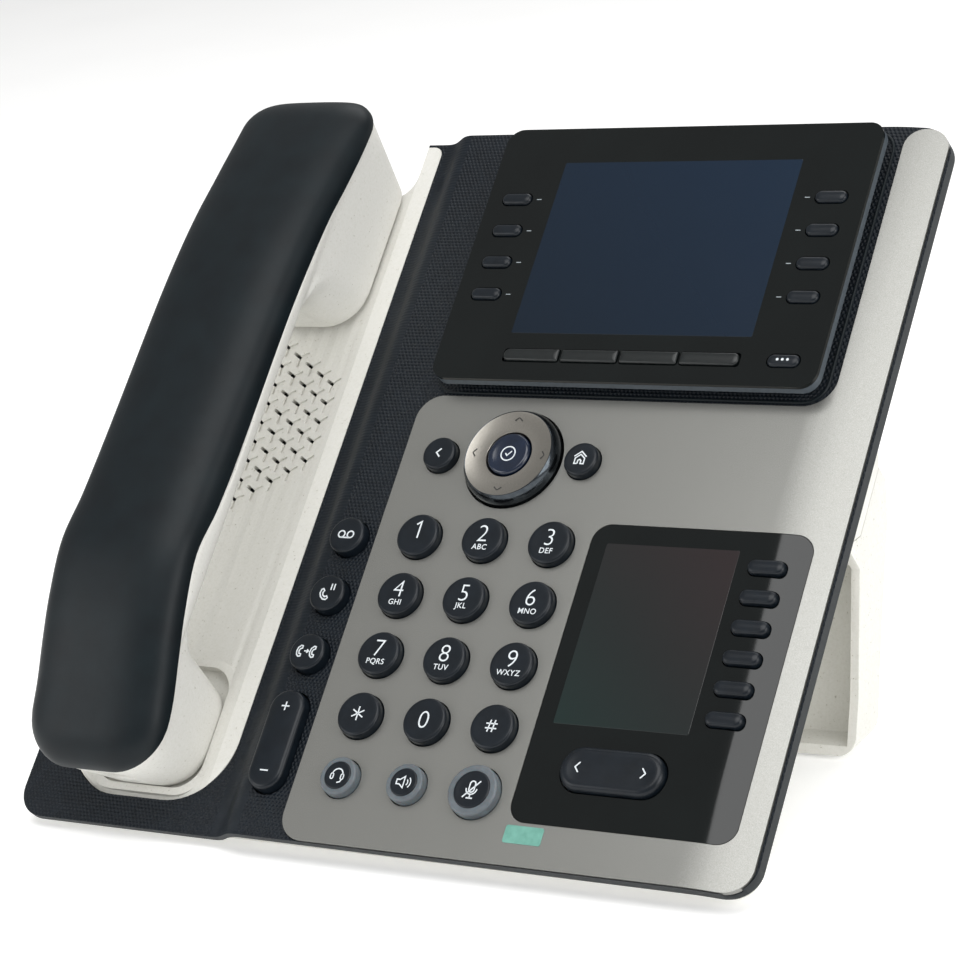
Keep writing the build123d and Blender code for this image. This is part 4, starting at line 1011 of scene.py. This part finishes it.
def cover_section(v, steps=28):
    """Loop across the dark cover at v."""
    half = plan_half(v)
    depth = min(v - END_LOW, END_HIGH - v)
    swell = 1.0
    if depth < END_REACH:
        swell = (1 - (1 - depth / END_REACH) ** END_POWER) ** (1 / END_POWER)
    seam = smooth_height(SEAM, v) + SEAM_GAP
    rise = (smooth_height(BACK, v) - seam) * max(swell, LEAST_SWELL)
    loop = []
    for i in range(steps + 1):
        turn = pi * i / steps
        x, y = cos(turn), sin(turn)
        side = half * (abs(x) ** SIDE_POWER) * (1 if x > 0 else -1)
        loop.append((HANDSET_U + side, v, seam + rise * abs(y) ** TOP_POWER))
    under = seam - COVER_LIP
    loop += [(HANDSET_U - half + 2 * half * i / UNDER_STEPS, v, under) for i in range(UNDER_STEPS + 1)]
    return loop


bm = bmesh.new()
rings(bm, [cover_section(v) for v in stations(END_LOW, END_HIGH)])
cover = add_object(
    "handset_back", mesh_from(bm, "cover"), "handset", ["navy_smooth"], ROUND_ANGLE
)
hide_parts("handset_cover")

# the inner end of each block: v and w at its low level, v and w at its high level, its half width at
# each, its corner radius, and which way the grip runs from it
BLOCKS = (
    (65.2, -5.2, 55.0, 33.0, 18.9, 20.4, 11.0, -1),
    (-43.0, -8.5, -38.0, 33.0, 16.5, 20.4, 9.0, 1),
)
BLEND_LOW, BLEND_HIGH, BLEND_REACH, BLEND_BODY = 9.5, 20.5, 9.5, 24.0
BLEND_STEPS, BLEND_INSET, BLEND_TURN = 14, 0.1, 0.99


def blend_loops(block):
    """Loops of the concave blend between the grip's underside and the inner end of a block."""
    v_low, w_low, v_high, w_high, half_low, half_high, corner, way = block
    loops = []
    for i in range(BLEND_STEPS + 1):
        w = BLEND_LOW + (BLEND_HIGH - BLEND_LOW) * i / BLEND_STEPS
        share = (w - w_low) / (w_high - w_low)
        half = half_low + (half_high - half_low) * share - BLEND_INSET
        curl = 1 - sqrt(1 - (BLEND_TURN * i / BLEND_STEPS) ** 2)
        end = v_low + (v_high - v_low) * share + way * BLEND_REACH * curl
        far = end - way * BLEND_BODY
        outline = rounded(HANDSET_U - half, min(end, far), HANDSET_U + half, max(end, far), corner)
        loops.append([(u, v, w) for u, v in outline])
    return loops


SKIN_VOXEL, EASE_ROUNDS, SKIN_KEEP = 0.7, 14, 0.3


def blended_shell():
    """The handset's inner half: its CAD shape with blends added, rebuilt as one fine skin and smoothed."""
    bm = bmesh.new()
    bm.from_mesh(frame["nodes"]["handset_shell"].data)
    bmesh.ops.transform(bm, matrix=TO_FACE, verts=bm.verts)
    for block in BLOCKS:
        rings(bm, blend_loops(block))
    bmesh.ops.recalc_face_normals(bm, faces=bm.faces)
    mesh = bpy.data.meshes.new("shell_cage")
    bm.to_mesh(mesh)
    bm.free()
    holder = link_new("shell_cage", mesh)
    remesh = holder.modifiers.new("skin", "REMESH")
    remesh.mode = "VOXEL"
    remesh.voxel_size = SKIN_VOXEL
    smooth = holder.modifiers.new("ease", "SMOOTH")
    smooth.factor = 0.5
    smooth.iterations = EASE_ROUNDS
    reduce = holder.modifiers.new("reduce", "DECIMATE")
    reduce.ratio = SKIN_KEEP
    skin = evaluated_mesh(holder)
    skin.materials.clear()
    return skin


shell = add_object("handset_inner", blended_shell(), "handset", ["cream"], ROUND_ANGLE)
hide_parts("handset_shell")

# ---------------------------------------------------------------- camera, light and floor
AZIMUTH, ELEVATION, ROLL = radians(33.03), radians(16.5), radians(-7.8)
EYE = (412.18, -299.0, 607.27)
camera_data = bpy.data.cameras.new("camera")
camera_data.lens = 117.4
camera_data.sensor_width = 36
camera_data.clip_end = 20
camera = link_new("camera", camera_data)
bpy.context.scene.camera = camera
forward = Vector((-sin(AZIMUTH) * cos(ELEVATION), cos(AZIMUTH) * cos(ELEVATION), -sin(ELEVATION)))
level_right = Vector((cos(AZIMUTH), sin(AZIMUTH), 0))
level_up = level_right.cross(forward)
camera_right = level_right * cos(ROLL) + level_up * sin(ROLL)
camera_up = camera_right.cross(forward)
camera.matrix_world = (
    Matrix.Translation(at(*EYE)) @ Matrix((camera_right, camera_up, -forward)).transposed().to_4x4()
)

FLOOR_HALF = 4.0
mesh = bpy.data.meshes.new("floor")
corners = ((-1, -1), (1, -1), (1, 1), (-1, 1))
mesh.from_pydata([(x * FLOOR_HALF, y * FLOOR_HALF, 0) for x, y in corners], [], [(0, 1, 2, 3)])
mesh.materials.append(MATERIALS["floor_white"])
floor = link_new("floor", mesh)

AIM = Vector((0, 0, 0.08))


def area_light(name, place, size, power):
    """A soft rectangular light aimed at the middle of the object."""
    data = bpy.data.lights.new(name, "AREA")
    data.shape = "RECTANGLE"
    data.size, data.size_y = size
    data.energy = power
    lamp = link_new(name, data)
    lamp.location = place
    lamp.rotation_euler = (AIM - Vector(place)).to_track_quat("-Z", "Y").to_euler()


area_light("over_light", (0.175, -0.5, 1.4), (1.25, 0.9), 12)
area_light("right_light", (1.2, -0.4, 0.6), (0.8, 0.8), 8)
area_light("top_light", (0.0, 1.0, 1.4), (1.4, 0.8), 8)
area_light("left_light", (-1.1, -1.1, 0.6), (0.9, 0.7), 6)
world = bpy.data.worlds.new("studio")
bpy.context.scene.world = world
world.use_nodes = True
world.node_tree.nodes["Background"].inputs["Color"].default_value = (1.0, 1.0, 1.0, 1.0)
world.node_tree.nodes["Background"].inputs["Strength"].default_value = 0.4
bpy.context.scene.view_settings.view_transform = "Standard"
